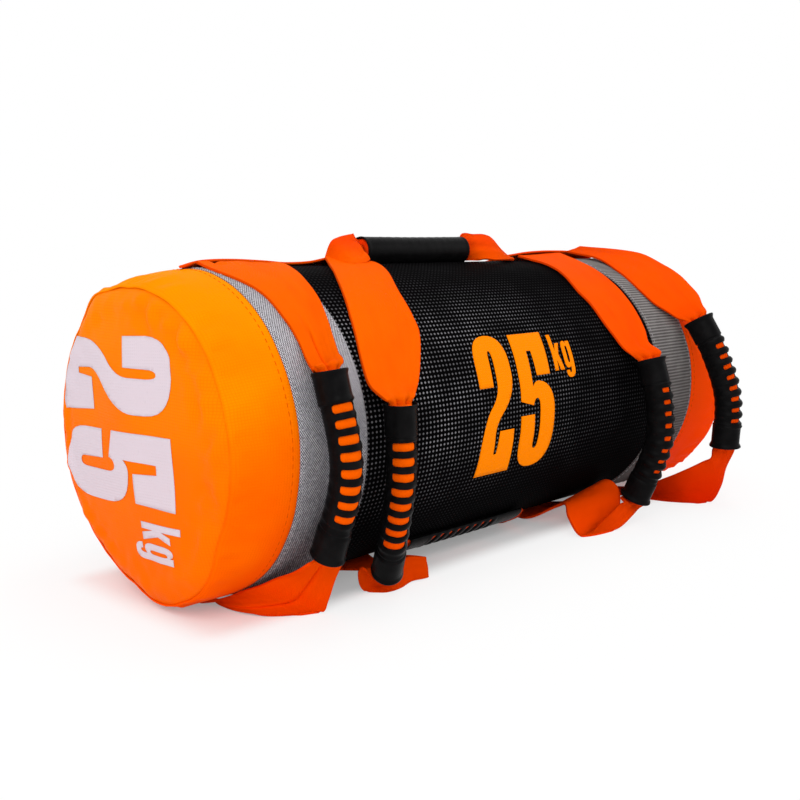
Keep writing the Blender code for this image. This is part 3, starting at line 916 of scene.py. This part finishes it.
def clearOfBag(point, lift):
    radius = math.hypot(point.y, point.z - bag["axisZ"])
    if abs(point.x) < endOf(point.x)["seamX"]:
        least = coverRadius(point.x, angleOf(point)) + lift
        if radius < least:
            if point.z < 0.035:
                point.z = min(point.z, bag["axisZ"] - math.sqrt(max(0.0, least**2 - point.y**2)))
            else:
                point.y *= least / radius
                point.z = bag["axisZ"] + (point.z - bag["axisZ"]) * least / radius
    point.z = max(point.z, webbing["thickness"] / 2 + 0.0001)
    return point


# gives every face corner the place on the webbing that its vertex holds
def layStored(bm, layer):
    uv = bm.loops.layers.uv.new("laid")
    for face in bm.faces:
        for loop in face.loops:
            loop[uv].uv = loop.vert[layer].xy
    bm.verts.layers.float_vector.remove(layer)


# one strap between two edges; gather gives, for each end, how long its pleats run (0 for none), and
# ridge a crease's place across the strap at its start, the same at its end, and its height
def ribbon(edge1, edge2, along, across, gather=(0.0, 0.0), crease=1.0, seed=0.0, lift=None,
           ridge=(0.5, 0.5, 0.0)):
    middleLine = [a.lerp(b, 0.5) for a, b in zip(edge1, edge2)]
    total = sum((b - a).length for a, b in zip(middleLine, middleLine[1:]))
    lift = webbing["lift"] if lift is None else lift
    bm = bmesh.new()
    bmesh.ops.create_grid(bm, x_segments=along, y_segments=across, size=1.0)
    layer = bm.verts.layers.float_vector.new("strap")
    for vert in bm.verts:
        length = (vert.co.x + 1) / 2
        side = (vert.co.y + 1) / 2
        share = stationShare(middleLine, length)
        ahead = (smoothPoint(middleLine, stationShare(middleLine, min(length + 0.01, 1.0)))
                 - smoothPoint(middleLine, stationShare(middleLine, max(length - 0.01, 0.0)))).normalized()
        first, second = smoothPoint(edge1, share), smoothPoint(edge2, share)
        width = second - first
        normal = width.cross(ahead).normalized()
        # how far it is from the nearest grip, where its pleats are highest
        fromGrip = min(length * total if gather[0] else 1.0, (1 - length) * total if gather[1] else 1.0)
        gathered = 1 - smoothStep(fromGrip, 0.0, max(gather)) if max(gather) else 0.0
        fan = max(0.0, 1 - fromGrip / 0.060) ** 1.5
        arch = math.sqrt(max(0.0, 1 - (2 * side - 1) ** 2 * 0.8))
        pleat = math.sin(math.tau * webbing["pleats"] * side + seed + 1.5 * wave(fromGrip * 30, seed))
        soft = webbing["crease"] * crease * (0.35 + 0.65 * min(width.length / 0.045, 1.0))
        folds = soft * (wave(length * total * 13 + seed, side * 1.8, seed * 1.7)
                        + 0.5 * wave(length * total * 34 + seed, side * 4.5, seed))
        folds += pleat * (webbing["fold"] * gathered * arch + 0.0006 * crease * fan * (1 - gathered))
        offRidge = side - ridge[0] - (ridge[1] - ridge[0]) * length
        folds += ridge[2] * bell(offRidge, 0.0, 0.04) * (1 - gathered)
        point = first + width * side + normal * folds
        point = clearOfBag(point, lift) if fromGrip > 0.006 else point
        point.z = max(point.z, webbing["thickness"] / 2 + 0.0002)
        vert.co = point
        vert[layer] = (length * total, (side - 0.5) * webbing["fullWidth"], 0.0)
    layStored(bm, layer)
    return bm


def finishStrap(name, bm):
    obj = addPiece(name + "_webbing", bm, webbingFinish, None, [name])
    addWall(obj, webbing["thickness"], 0.0)
    bevel = obj.modifiers.new("soft edge", "BEVEL")
    bevel.width = 0.0005
    bevel.segments = 2
    bevel.limit_method = "ANGLE"
    bevel.angle_limit = math.radians(60)
    return obj


def neckPoints(end, direction, across, straight, wide=None):
    # an edge's first three points, where a strap comes out of a grip's mouth
    across = (across - direction * across.dot(direction)).normalized()
    edges = []
    for sign in (-1, 1):
        mouth = end + across * (sign * webbing["mouthWidth"] / 2)
        neck = end + across * (sign * (wide or webbing["neckWidth"]) / 2)
        edges.append([mouth - direction * webbing["intoGrip"], mouth + direction * 0.0006,
                      neck + direction * straight])
    return edges


grip = {
    "half": (0.0105, 0.0135),  # half its oval section, sideways and towards its slots
    "flatBack": 0.84,  # its side next to the bag is flatter
    "collar": 0.023,
    "collarUp": 0.0010,
    "ring": 0.0005,
    "flare": 0.0010,  # of its last 5 mm
    "slots": 8,
    "pitch": 0.0101,
    "slotLength": 0.0200,
    "slotWidth": 0.0058,
    "slotCorner": 0.0017,
    "dent": 0.0042,
    "coreDepth": 0.0009,
    "around": 144,
    "coreAround": 64,
}


def pathTable(stations, count=400):
    points = [smoothPoint(stations, index / count) for index in range(count + 1)]
    run = [0.0]
    for a, b in zip(points, points[1:]):
        run.append(run[-1] + (b - a).length)
    return points, run


def onPath(table, distance):
    points, run = table
    share = min(max(distance / run[-1], 0.0), 1.0)
    index = min(int(share * (len(run) - 1)), len(run) - 2)
    while index > 0 and run[index] > distance:
        index -= 1
    while index < len(run) - 2 and run[index + 1] < distance:
        index += 1
    direction = (points[index + 1] - points[index]).normalized()
    return points[index] + direction * (distance - run[index]), direction


def slotMask(around, along, shape):
    x = max(abs(around) - (shape["slotLength"] / 2 - grip["slotCorner"]), 0.0)
    y = max(abs(along) - (shape["slotWidth"] / 2 - grip["slotCorner"]), 0.0)
    return 1 - smoothStep(math.hypot(x, y) - grip["slotCorner"], -0.00045, 0.00005)


def gripLift(distance, length, phi, shape):
    # how far the rubber stands out from its plain oval, there
    ends = min(distance, length - distance)
    past = ends - grip["collar"]
    half = shape["half"]
    lift = shape["ring"] * (0.7 * bell(past, 0.0021, 0.0010) - bell(past, 0.0, 0.0007))
    lift += shape["collarUp"] * (1 - smoothStep(past, -0.0015, 0.0010))
    lift += shape["flare"] * (1 - smoothStep(ends, 0.0, 0.005))
    middle = distance - length / 2 + shape["slotsUp"]
    reach = grip["slots"] * grip["pitch"] / 2
    if abs(middle) < reach + grip["pitch"] / 2:
        each = grip["slots"] // 2
        slot = min(max(round(middle / grip["pitch"] - 0.5), -each), each - 1) + 0.5
        along = middle - slot * grip["pitch"]
        fade = smoothStep(reach + grip["pitch"] / 2 - abs(middle), 0.0, grip["pitch"] / 2)
        bead = (0.5 - 0.5 * math.cos(math.tau * along / grip["pitch"])) ** 1.5
        lift += shape["rib"] * fade * bead * (0.25 + 0.75 * smoothStep(math.cos(phi), -0.35, 0.4))
        if math.cos(phi) > 0:
            around = phi * (half[0] * 0.62 + half[1] * 0.38)
            lift -= shape["dent"] * slotMask(around, along, shape)
    return lift


ownKeys = ("half", "ring", "collarUp", "flare", "slotLength", "slotWidth", "dent", "coreDepth")


# a grip's own shape: what its handle gives, or else what all grips share
def shapeOf(handle):
    shape = {"slotsUp": 0.0, **{key: grip[key] for key in ownKeys}}
    shape.update({key: handle[key] for key in handle if key in shape or key == "rib"})
    return shape


def depthAt(phi, shape):
    return shape["half"][1] * (1.0 if math.cos(phi) > 0 else grip["flatBack"])


def frameAt(table, facing, distance):
    # a place on a grip's middle line, with its outward and its sideways direction
    point, direction = onPath(table, distance)
    out = facing(point)
    out = (out - direction * out.dot(direction)).normalized()
    return point, out, direction.cross(out)


def makeGrip(name, body, stations, facing, shape):
    table = pathTable(stations)
    length = table[1][-1]
    half = shape["half"]
    reach = grip["slots"] * grip["pitch"] / 2 + grip["pitch"] / 2
    start, stop = length / 2 - shape["slotsUp"] - reach, length / 2 - shape["slotsUp"] + reach
    # the webbing stretches a grip's mouth, so its rim is thin
    cap = [(0.0042, 0.0), (0.0042, 0.86), (0.0010, 0.88), (0.0002, 0.90), (0.0, 0.935),
           (0.0004, 0.97), (0.0014, 0.995)]
    collars = []
    for size in (start, length - stop):
        collars.append(cap + [(0.0028 + (size - 0.0028) * index / 30, 1.0) for index in range(30)])
    steps = round(2 * reach / 0.00036)
    ribs = [(start + 2 * reach * index / steps, 1.0) for index in range(steps + 1)]
    profile = collars[0] + ribs + [(length - x, r) for x, r in reversed(collars[1])]
    bm = turnedRound([profile], 0.0, grip["around"], 1e-7)
    frames = {}
    for vert in bm.verts:
        key = round(vert.co.x, 6)
        if key not in frames:
            frames[key] = frameAt(table, facing, vert.co.x)
        point, out, sideways = frames[key]
        share = math.hypot(vert.co.y, vert.co.z)
        phi = math.atan2(vert.co.y, vert.co.z)
        lift = gripLift(vert.co.x, length, phi, shape) if share > 0.5 else 0.0
        vert.co = (point + out * (math.cos(phi) * (depthAt(phi, shape) * share + lift))
                   + sideways * (math.sin(phi) * (half[0] * share + lift)))
    bmesh.ops.recalc_face_normals(bm, faces=bm.faces)
    addPiece(name + "_grip_rubber", bm, rubberFinish, body, [name + "_grip"])
    makeCore(name, body, table, facing, shape)
    return table[0]


def makeCore(name, body, table, facing, shape):
    # the folded webbing inside a grip, which shows through its slots
    length = table[1][-1]
    middle = length / 2 - shape["slotsUp"]
    half = shape["half"]
    reach = grip["slots"] * grip["pitch"] / 2
    count = 96
    profile = [(middle - reach, 0.0), (middle - reach, 0.7)]
    profile += [(middle - reach + 0.0008 + (2 * reach - 0.0016) * index / count, 1.0)
                for index in range(count + 1)]
    profile += [(middle + reach, 0.7), (middle + reach, 0.0)]
    # and a wad of it in each mouth
    wad = [(0.0010, 0.0), (0.0010, 0.45), (0.0014, 0.76), (0.0020, 0.84), (0.0040, 0.84), (0.0040, 0.0)]
    farWad = [(length - x, r) for x, r in wad[::-1]]
    bm = turnedRound((wad, profile, farWad), 0.0, grip["coreAround"], 1e-7)
    layer = bm.verts.layers.float_vector.new("strap")
    for vert in bm.verts:
        distance = vert.co.x
        point, out, sideways = frameAt(table, facing, distance)
        share = math.hypot(vert.co.y, vert.co.z)
        phi = math.atan2(vert.co.y, vert.co.z)
        puff = 0.0004 * math.cos(math.tau * (distance - middle) / grip["pitch"] + math.pi)
        puff += 0.0003 * wave(distance * 300, phi * 2.5)
        if abs(distance - middle) > reach + 0.001:
            puff = shape["coreDepth"]
        deep = shape["coreDepth"] - puff
        vert.co = (point + out * (math.cos(phi) * (depthAt(phi, shape) - deep) * share)
                   + sideways * (math.sin(phi) * (half[0] - deep) * share))
        vert[layer] = (distance, phi * 0.012, 0.0)
    layStored(bm, layer)
    bmesh.ops.recalc_face_normals(bm, faces=bm.faces)
    addPiece(name + "_core_webbing", bm, webbingFinish, body, [name + "_core"])


# grips and upper straps are (x, degrees round the bag from the front upwards, radius), lower straps (x, y, z)
uprightHandles = {
    "left_outer": {
        "grip": [(-0.228, 24, 0.1372), (-0.225, -4, 0.1384), (-0.224, -31.8, 0.1382)],
        "slotsTurned": -15,
        "slotsUp": 0.0053,
        "rib": 0.0008,
        "across": (1.0, 0.0, 0.0),
        "necks": (0.0280, 0.0320),
        "gather": (0.012, 0.010),
        "ridges": ((0.20, 0.45, 0.0022), (0.45, 0.75, 0.0022)),
        "upperLeft": [(-0.246, 89.0, 0.1245), (-0.2460, 76.1, laid), (-0.2350, 59.7, laid),
                      (-0.2320, 44.8, laid), (-0.2310, 36.8, laid), (-0.2334, 29.0, 0.1250),
                      (-0.2349, 24.9, 0.1300)],
        "upperRight": [(-0.168, 90.4, 0.1225), (-0.178, 77, laid), (-0.185, 66, laid), (-0.191, 54, laid),
                       (-0.1985, 42, 0.1235), (-0.2030, 37, 0.1260), (-0.2085, 30, 0.1300)],
        "lowerLeft": [(-0.241, -0.100, 0.034), (-0.246, -0.088, 0.0285), (-0.2505, -0.0765, 0.0220),
                      (-0.2550, -0.0640, 0.0165), (-0.2595, -0.0500, 0.0115), (-0.2630, -0.0380, 0.0080),
                      (-0.268, -0.0215, 0.001)],
        "lowerRight": [(-0.2125, -0.112, 0.026), (-0.2150, -0.1075, 0.010), (-0.2165, -0.1030, 0.001),
                       (-0.2345, -0.0945, 0.001), (-0.2530, -0.0760, 0.001), (-0.2590, -0.0400, 0.001),
                       (-0.2500, -0.0215, 0.001)],
    },
    "left_inner": {
        "grip": [(-0.1705, 12, 0.1370), (-0.1705, -10, 0.1374), (-0.1665, -30, 0.1418),
                 (-0.1590, -42.8, 0.1485)],
        "slotsTurned": -36,
        "slotsUp": 0.0032,
        "rib": 0.0008,
        "across": (1.0, 0.0, 0.0),
        "necks": (0.0280, 0.0245),
        "gather": (0.010, 0.010),
        "ridges": ((0.5, 0.5, 0.0), (0.5, 0.5, 0.0)),
        "upperLeft": [(-0.119, 92.0, 0.1262), (-0.1497, 69.3, laid), (-0.1620, 58, laid),
                      (-0.1723, 46.8, laid), (-0.1805, 33.6, laid), (-0.1850, 22.7, 0.124),
                      (-0.1851, 18.5, 0.127)],
        "upperRight": [(-0.072, 90.4, laid), (-0.0930, 70, laid), (-0.1075, 56, laid), (-0.1137, 41.5, laid),
                       (-0.1168, 35.2, laid), (-0.1271, 25.8, 0.1225), (-0.1400, 17.1, 0.126)],
        "lowerLeft": [(-0.1740, -0.0975, 0.0225), (-0.1715, -0.0915, 0.0100), (-0.1660, -0.0930, 0.001),
                      (-0.1500, -0.1068, 0.001), (-0.1255, -0.1012, 0.001), (-0.1080, -0.1020, 0.001),
                      (-0.1160, -0.0830, 0.001), (-0.1350, -0.0520, 0.001), (-0.1650, -0.0215, 0.001)],
        "lowerRight": [(-0.1540, -0.1050, 0.0150), (-0.1510, -0.1020, 0.0150), (-0.1490, -0.1000, 0.0170),
                       (-0.1390, -0.0990, 0.0190), (-0.1254, -0.0978, 0.0200), (-0.1075, -0.0985, 0.0160),
                       (-0.1150, -0.0850, 0.0160), (-0.1140, -0.0600, 0.0080), (-0.1250, -0.0215, 0.001)],
    },
    "right_inner": {
        "grip": [(0.150, 14, 0.1362), (0.150, -1, 0.1428), (0.150, -16, 0.1500), (0.150, -38.5, 0.1560)],
        "slotsTurned": 0,
        "slotsUp": 0.003,
        "slotLength": 0.0160,
        "slotWidth": 0.0042,
        "coreDepth": 0.0022,
        "rib": 0.0016,
        "flare": 0.0020,
        "across": (0.76, -0.65, 0.0),
        "necks": (0.0245, 0.0260),
        "gather": (0.010, 0.010),
        "ridges": ((0.5, 0.5, 0.0), (0.5, 0.5, 0.0)),
        "upperLeft": [(0.124, 90.4, 0.1245), (0.1255, 77, laid), (0.1215, 65, laid),
                      (0.1137, 51, laid), (0.1165, 43, laid), (0.1190, 33.3, 0.1225),
                      (0.1240, 26.8, 0.1235), (0.1300, 20.2, 0.126)],
        "upperRight": [(0.190, 90.4, 0.1260), (0.1835, 77, laid), (0.1792, 65, laid),
                       (0.1775, 52, laid), (0.1776, 43, laid), (0.1776, 34, 0.1225),
                       (0.1755, 27, 0.1240), (0.1690, 21.0, 0.1275)],
        "lowerLeft": [(0.1300, -0.1235, 0.0215), (0.1215, -0.1235, 0.0205), (0.113, -0.1245, 0.0175),
                      (0.0850, -0.1218, 0.002), (0.132, -0.1160, 0.012), (0.1480, -0.1050, 0.028),
                      (0.1500, -0.0890, 0.0330), (0.146, -0.055, 0.008), (0.140, -0.0215, 0.001)],
        "lowerRight": [(0.158, -0.1240, 0.0120), (0.138, -0.1285, 0.0085), (0.108, -0.1300, 0.001),
                       (0.0694, -0.1216, 0.001), (0.0695, -0.106, 0.015), (0.083, -0.092, 0.022),
                       (0.0930, -0.0760, 0.0160), (0.080, -0.053, 0.003), (0.084, -0.0215, 0.001)],
    },
    "right_outer": {
        "half": (0.0115, 0.0135),
        "grip": [(0.2470, 27, 0.1396), (0.2502, 13, 0.1450), (0.2572, -4, 0.1540), (0.2600, -21.5, 0.1635)],
        "slotsTurned": 2,
        "slotsUp": -0.0018,
        "slotWidth": 0.0044,
        "coreDepth": 0.0022,
        "rib": 0.0016,
        "flare": 0.0020,
        "across": (0.76, -0.65, 0.0),
        "necks": (0.0245, 0.0225),
        "gather": (0.010, 0.010),
        "ridges": ((0.5, 0.5, 0.0), (0.5, 0.5, 0.0)),
        "upperLeft": [(0.206, 91.5, 0.1280), (0.2175, 78, 0.1240), (0.213, 62, laid), (0.211, 49, laid),
                      (0.2163, 40.5, 0.1225), (0.2250, 34.6, 0.1255), (0.2340, 30.0, 0.128)],
        "upperRight": [(0.226, 90.8, 0.1325), (0.262, 71, 0.1340), (0.270, 57, 0.1352), (0.2735, 50, 0.1365),
                       (0.274, 44, 0.1375), (0.2725, 38, 0.1400), (0.267, 33, 0.1410)],
        "lowerLeft": [(0.2465, -0.1465, 0.049), (0.244, -0.140, 0.045), (0.237, -0.126, 0.036),
                      (0.234, -0.108, 0.026), (0.238, -0.075, 0.011), (0.243, -0.045, 0.003),
                      (0.246, -0.0215, 0.001)],
        "lowerRight": [(0.272, -0.149, 0.036), (0.2695, -0.1455, 0.016), (0.2620, -0.1395, 0.001),
                       (0.2430, -0.1290, 0.001), (0.2320, -0.1050, 0.001), (0.2210, -0.0500, 0.001),
                       (0.212, -0.0215, 0.001)],
    },
}


def makeUprightHandle(name, handle, seed):
    body = name + "_handle"
    stations = [roundBag(place) for place in handle["grip"]]
    turned = math.radians(handle["slotsTurned"])

    def facing(point):
        out = Vector((0.0, point.y, point.z - bag["axisZ"])).normalized()
        return out * math.cos(turned) + Vector((math.sin(turned), 0.0, 0.0))

    points = makeGrip(name, body, stations, facing, shapeOf(handle))
    across = Vector(handle["across"])

    up = (points[0] - points[12]).normalized()
    left, right = neckPoints(points[0], up, across, 0.004, handle["necks"][0])
    edge1 = [roundBag(place) for place in handle["upperLeft"]] + left[::-1]
    edge2 = [roundBag(place) for place in handle["upperRight"]] + right[::-1]
    gather, ridge = (0.0, handle["gather"][0]), handle["ridges"][0]
    bm = ribbon(edge1, edge2, 110, 40, gather=gather, seed=seed, ridge=ridge)
    strap = finishStrap(name + "_strap_upper", bm)
    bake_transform(strap)

    down = (points[-1] - points[-13]).normalized()
    left, right = neckPoints(points[-1], down, across, 0.003, handle["necks"][1])
    edge1 = left + [Vector(place) for place in handle["lowerLeft"]]
    edge2 = right + [Vector(place) for place in handle["lowerRight"]]
    gather, ridge = (handle["gather"][1], 0.0), handle["ridges"][1]
    bm = ribbon(edge1, edge2, 120, 32, gather=gather, seed=seed + 2, crease=0.6, ridge=ridge)
    strap = finishStrap(name + "_strap_lower", bm)
    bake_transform(strap)


for index, (name, handle) in enumerate(uprightHandles.items()):
    makeUprightHandle(name, handle, index * 1.3)
print("upright handles made")

levelHandles = {
    "top_handle": {
        "body": "top_handle_loop",
        "grip": [(-0.0734, 0.012, 0.2508), (-0.010, 0.012, 0.2504), (0.054, 0.012, 0.2508)],
        "half": (0.0117, 0.0130),
        "rib": 0.0002,
        "ring": 0.0,
        "collarUp": 0.0,
        "flare": 0.0004,
        "slotsFace": (0.0, 1.0, 0.0),
        "across": (0.0, 0.45, 0.89),
        "acrossRight": (0.0, 0.10, 0.995),
        "neck": 0.0300,
        "leftFront": [(-0.0810, -0.008, 0.2440), (-0.0890, -0.013, 0.2418), (-0.0970, -0.016, 0.2412),
                      (-0.1040, -0.017, 0.2408), (-0.1090, -0.018, 0.2405)],
        "leftBack": [(-0.0840, 0.011, 0.2638), (-0.0940, 0.009, 0.2626), (-0.1015, 0.008, 0.2612),
                     (-0.1090, 0.008, 0.2578), (-0.1140, 0.010, 0.2440)],
        "rightFront": [(0.0630, -0.006, 0.2418), (0.0740, -0.012, 0.2410), (0.0840, -0.012, 0.2410),
                       (0.0950, -0.011, 0.2412), (0.1060, -0.009, 0.2412)],
        "rightBack": [(0.0640, 0.008, 0.2650), (0.0750, 0.004, 0.2648), (0.0850, 0.003, 0.2618),
                      (0.0980, 0.003, 0.2522), (0.1105, 0.005, 0.2450)],
    },
    # its webbing is sewn short, so it lies flat against the bag
    "bottom_handle": {
        "body": "bottom_handle_loop",
        "grip": [(-0.104, -0.0701, 0.0179), (-0.034, -0.0703, 0.0177), (0.036, -0.0701, 0.0179)],
        "half": (0.0120, 0.0035),
        "slotsUp": 0.0065,
        "dent": 0.0022,
        "coreDepth": 0.0018,
        "neck": 0.0190,
        "rib": 0.0004,
        "ring": 0.0,
        "collarUp": 0.0,
        "flare": 0.0,
        "slotsFace": (0.0, -0.566, -0.824),
        "across": (0.0, 0.824, -0.566),
        "leftFront": [(-0.114, -0.066, 0.0140), (-0.122, -0.050, 0.005), (-0.128, -0.0215, 0.001)],
        "leftBack": [(-0.110, -0.055, 0.0080), (-0.108, -0.042, 0.002), (-0.100, -0.0215, 0.001)],
        "rightFront": [(0.047, -0.0680, 0.0150), (0.056, -0.0560, 0.0080), (0.064, -0.042, 0.002),
                       (0.072, -0.0215, 0.001)],
        "rightBack": [(0.043, -0.0570, 0.0085), (0.046, -0.048, 0.0035), (0.047, -0.036, 0.001),
                      (0.046, -0.0215, 0.001)],
    },
}


def makeLevelHandle(name, handle, seed):
    stations = [Vector(place) for place in handle["grip"]]
    face = Vector(handle["slotsFace"])
    points = makeGrip(name, handle["body"], stations, lambda point: face, shapeOf(handle))
    for side, end, inner in (("left", points[0], points[12]), ("right", points[-1], points[-13])):
        out = (end - inner).normalized()
        across = Vector(handle.get("across" + side.capitalize(), handle["across"]))
        front, back = neckPoints(end, out, across, 0.003, handle.get("neck"))
        edge1 = front + [Vector(place) for place in handle[side + "Front"]]
        edge2 = back + [Vector(place) for place in handle[side + "Back"]]
        pieceName = name + "_web_" + side
        strap = finishStrap(pieceName, ribbon(edge1, edge2, 70, 36, gather=(0.008, 0.0), seed=seed))
        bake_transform(strap)


for index, (name, handle) in enumerate(levelHandles.items()):
    makeLevelHandle(name, handle, 6.1 + index)
print("level handles made")


# the front and back edges, as (x, degrees, radius)
longStraps = {
    "top_strap_left": (
        [(-0.262, 88.0, 0.1215), (-0.240, 90.5, 0.1255), (-0.210, 91.6, 0.1259), (-0.180, 91.6, 0.1240),
         (-0.158, 91.6, 0.1222), (-0.136, 91.6, 0.1225), (-0.116, 91.6, 0.1250), (-0.100, 91.6, 0.1245)],
        [(-0.231, 107.0, laid), (-0.217, 109.5, laid), (-0.200, 110.0, laid), (-0.178, 110.0, laid),
         (-0.157, 110.0, laid), (-0.136, 110.0, laid), (-0.116, 110.0, laid), (-0.097, 110.0, laid)],
    ),
    "top_strap_right": (
        [(0.1065, 91.6, 0.1244), (0.150, 91.6, 0.1280), (0.205, 91.6, 0.1282), (0.264, 91.6, 0.1240)],
        [(0.1065, 110.0, laid), (0.150, 110.0, laid), (0.205, 110.0, laid), (0.264, 110.0, laid)],
    ),
}


def makeLongStraps():
    for name, (front, back) in longStraps.items():
        edges = [[roundBag(place) for place in edge] for edge in (front, back)]
        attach(finishStrap(name, ribbon(*edges, 100, 28, crease=0.8, seed=len(name))), "bag")
    edges = [[Vector((x, y, 0.0012)) for x in (-0.270, -0.1, 0.1, 0.270)] for y in (0.0190, -0.0190)]
    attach(finishStrap("bottom_strap", ribbon(*edges, 120, 12, crease=0.0, seed=3, lift=-0.01)), "bag")


makeLongStraps()
print("long straps made")


# the filling keeps its CAD shape
for name, finish in (("inner_sleeve", sleeveFinish), ("sand_filling", sandFinish)):
    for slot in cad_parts[name].material_slots:
        slot.material = finish


studio = {"ambient": 0.90, "white": (1.0, 1.0, 1.0, 1.0), "aim": (0, 0, 0.1)}

lamps = {
    "key light": {"place": (-1.3, -1.0, 1.3), "size": (0.9, 0.9), "power": 9.0},
    "top light": {"place": (0.2, -0.2, 1.8), "size": (1.2, 0.5), "power": 5.0},
    "fill light": {"place": (1.4, -1.0, 0.8), "size": (0.8, 0.8), "power": 2.6},
}

floorLook = {
    "size": 12.0,
    "colour": (0.93, 0.93, 0.93),
    "halfLength": 0.29,  # of the ground that the bag covers
    "halfWidth": 0.075,
    "whiteUnderBag": 0.25,
    # further away it goes over into the white backdrop: from and to which distance, and by how much
    "whiter": ((0.0, 0.03, 0.53), (0.03, 0.2, 0.17), (0.2, 0.9, 0.05)),
}


def backdropShare(maker):
    # 1 for the rays that see the backdrop itself
    path = maker.node("LightPath", {}, {}, out="Is Camera Ray")
    return path.largest(path.twin("Is Glossy Ray")).largest(path.twin("Is Transmission Ray"))


def makeFloor():
    bm = bmesh.new()
    bmesh.ops.create_grid(bm, x_segments=2, y_segments=2, size=floorLook["size"])
    mesh = bpy.data.meshes.new("floor")
    bm.to_mesh(mesh)
    bm.free()
    floor = bpy.data.objects.new("floor", mesh)
    bpy.context.scene.collection.objects.link(floor)
    finish = Finish("pale floor", 0.9, specular=0.0)
    finish.paint(floorLook["colour"])
    split = finish.node("SeparateXYZ", {}, {0: finish.solid()})
    beyondX = (finish.maths("ABSOLUTE", split) - floorLook["halfLength"]).largest(0.0)
    beyondY = (finish.maths("ABSOLUTE", split.twin(1)) - floorLook["halfWidth"]).largest(0.0)
    away = (beyondX * beyondX + beyondY * beyondY) ** 0.5
    share = floorLook["whiteUnderBag"]
    for start, end, gain in floorLook["whiter"]:
        share = share + away.between(start, end, 0.0, gain)
    white = finish.node("Emission", {}, {"Color": studio["white"], "Strength": 1.0})
    matte = Sock(finish.tree, finish.shader.outputs[0])
    mixed = finish.node("MixShader", {}, {0: share * backdropShare(finish), 1: matte, 2: white})
    finish.feed(finish.tree.nodes["Material Output"].inputs[0], mixed)
    mesh.materials.append(finish.material)


def makeWorld():
    world = bpy.data.worlds.new("studio")
    bpy.context.scene.world = world
    world.use_nodes = True
    maker = Sock(world.node_tree)
    background = world.node_tree.nodes["Background"]
    background.inputs["Color"].default_value = studio["white"]
    strength = studio["ambient"] + (1 - studio["ambient"]) * backdropShare(maker)
    maker.feed(background.inputs["Strength"], strength)


def makeLamp(name, lamp):
    data = bpy.data.lights.new(name, "AREA")
    data.shape = "RECTANGLE"
    data.size, data.size_y = lamp["size"]
    data.energy = lamp["power"]
    obj = bpy.data.objects.new(name, data)
    bpy.context.scene.collection.objects.link(obj)
    obj.location = lamp["place"]
    ahead = Vector(studio["aim"]) - Vector(lamp["place"])
    obj.rotation_euler = ahead.to_track_quat("-Z", "Y").to_euler()


makeFloor()
makeWorld()
for name, lamp in lamps.items():
    makeLamp(name, lamp)
print("studio set")
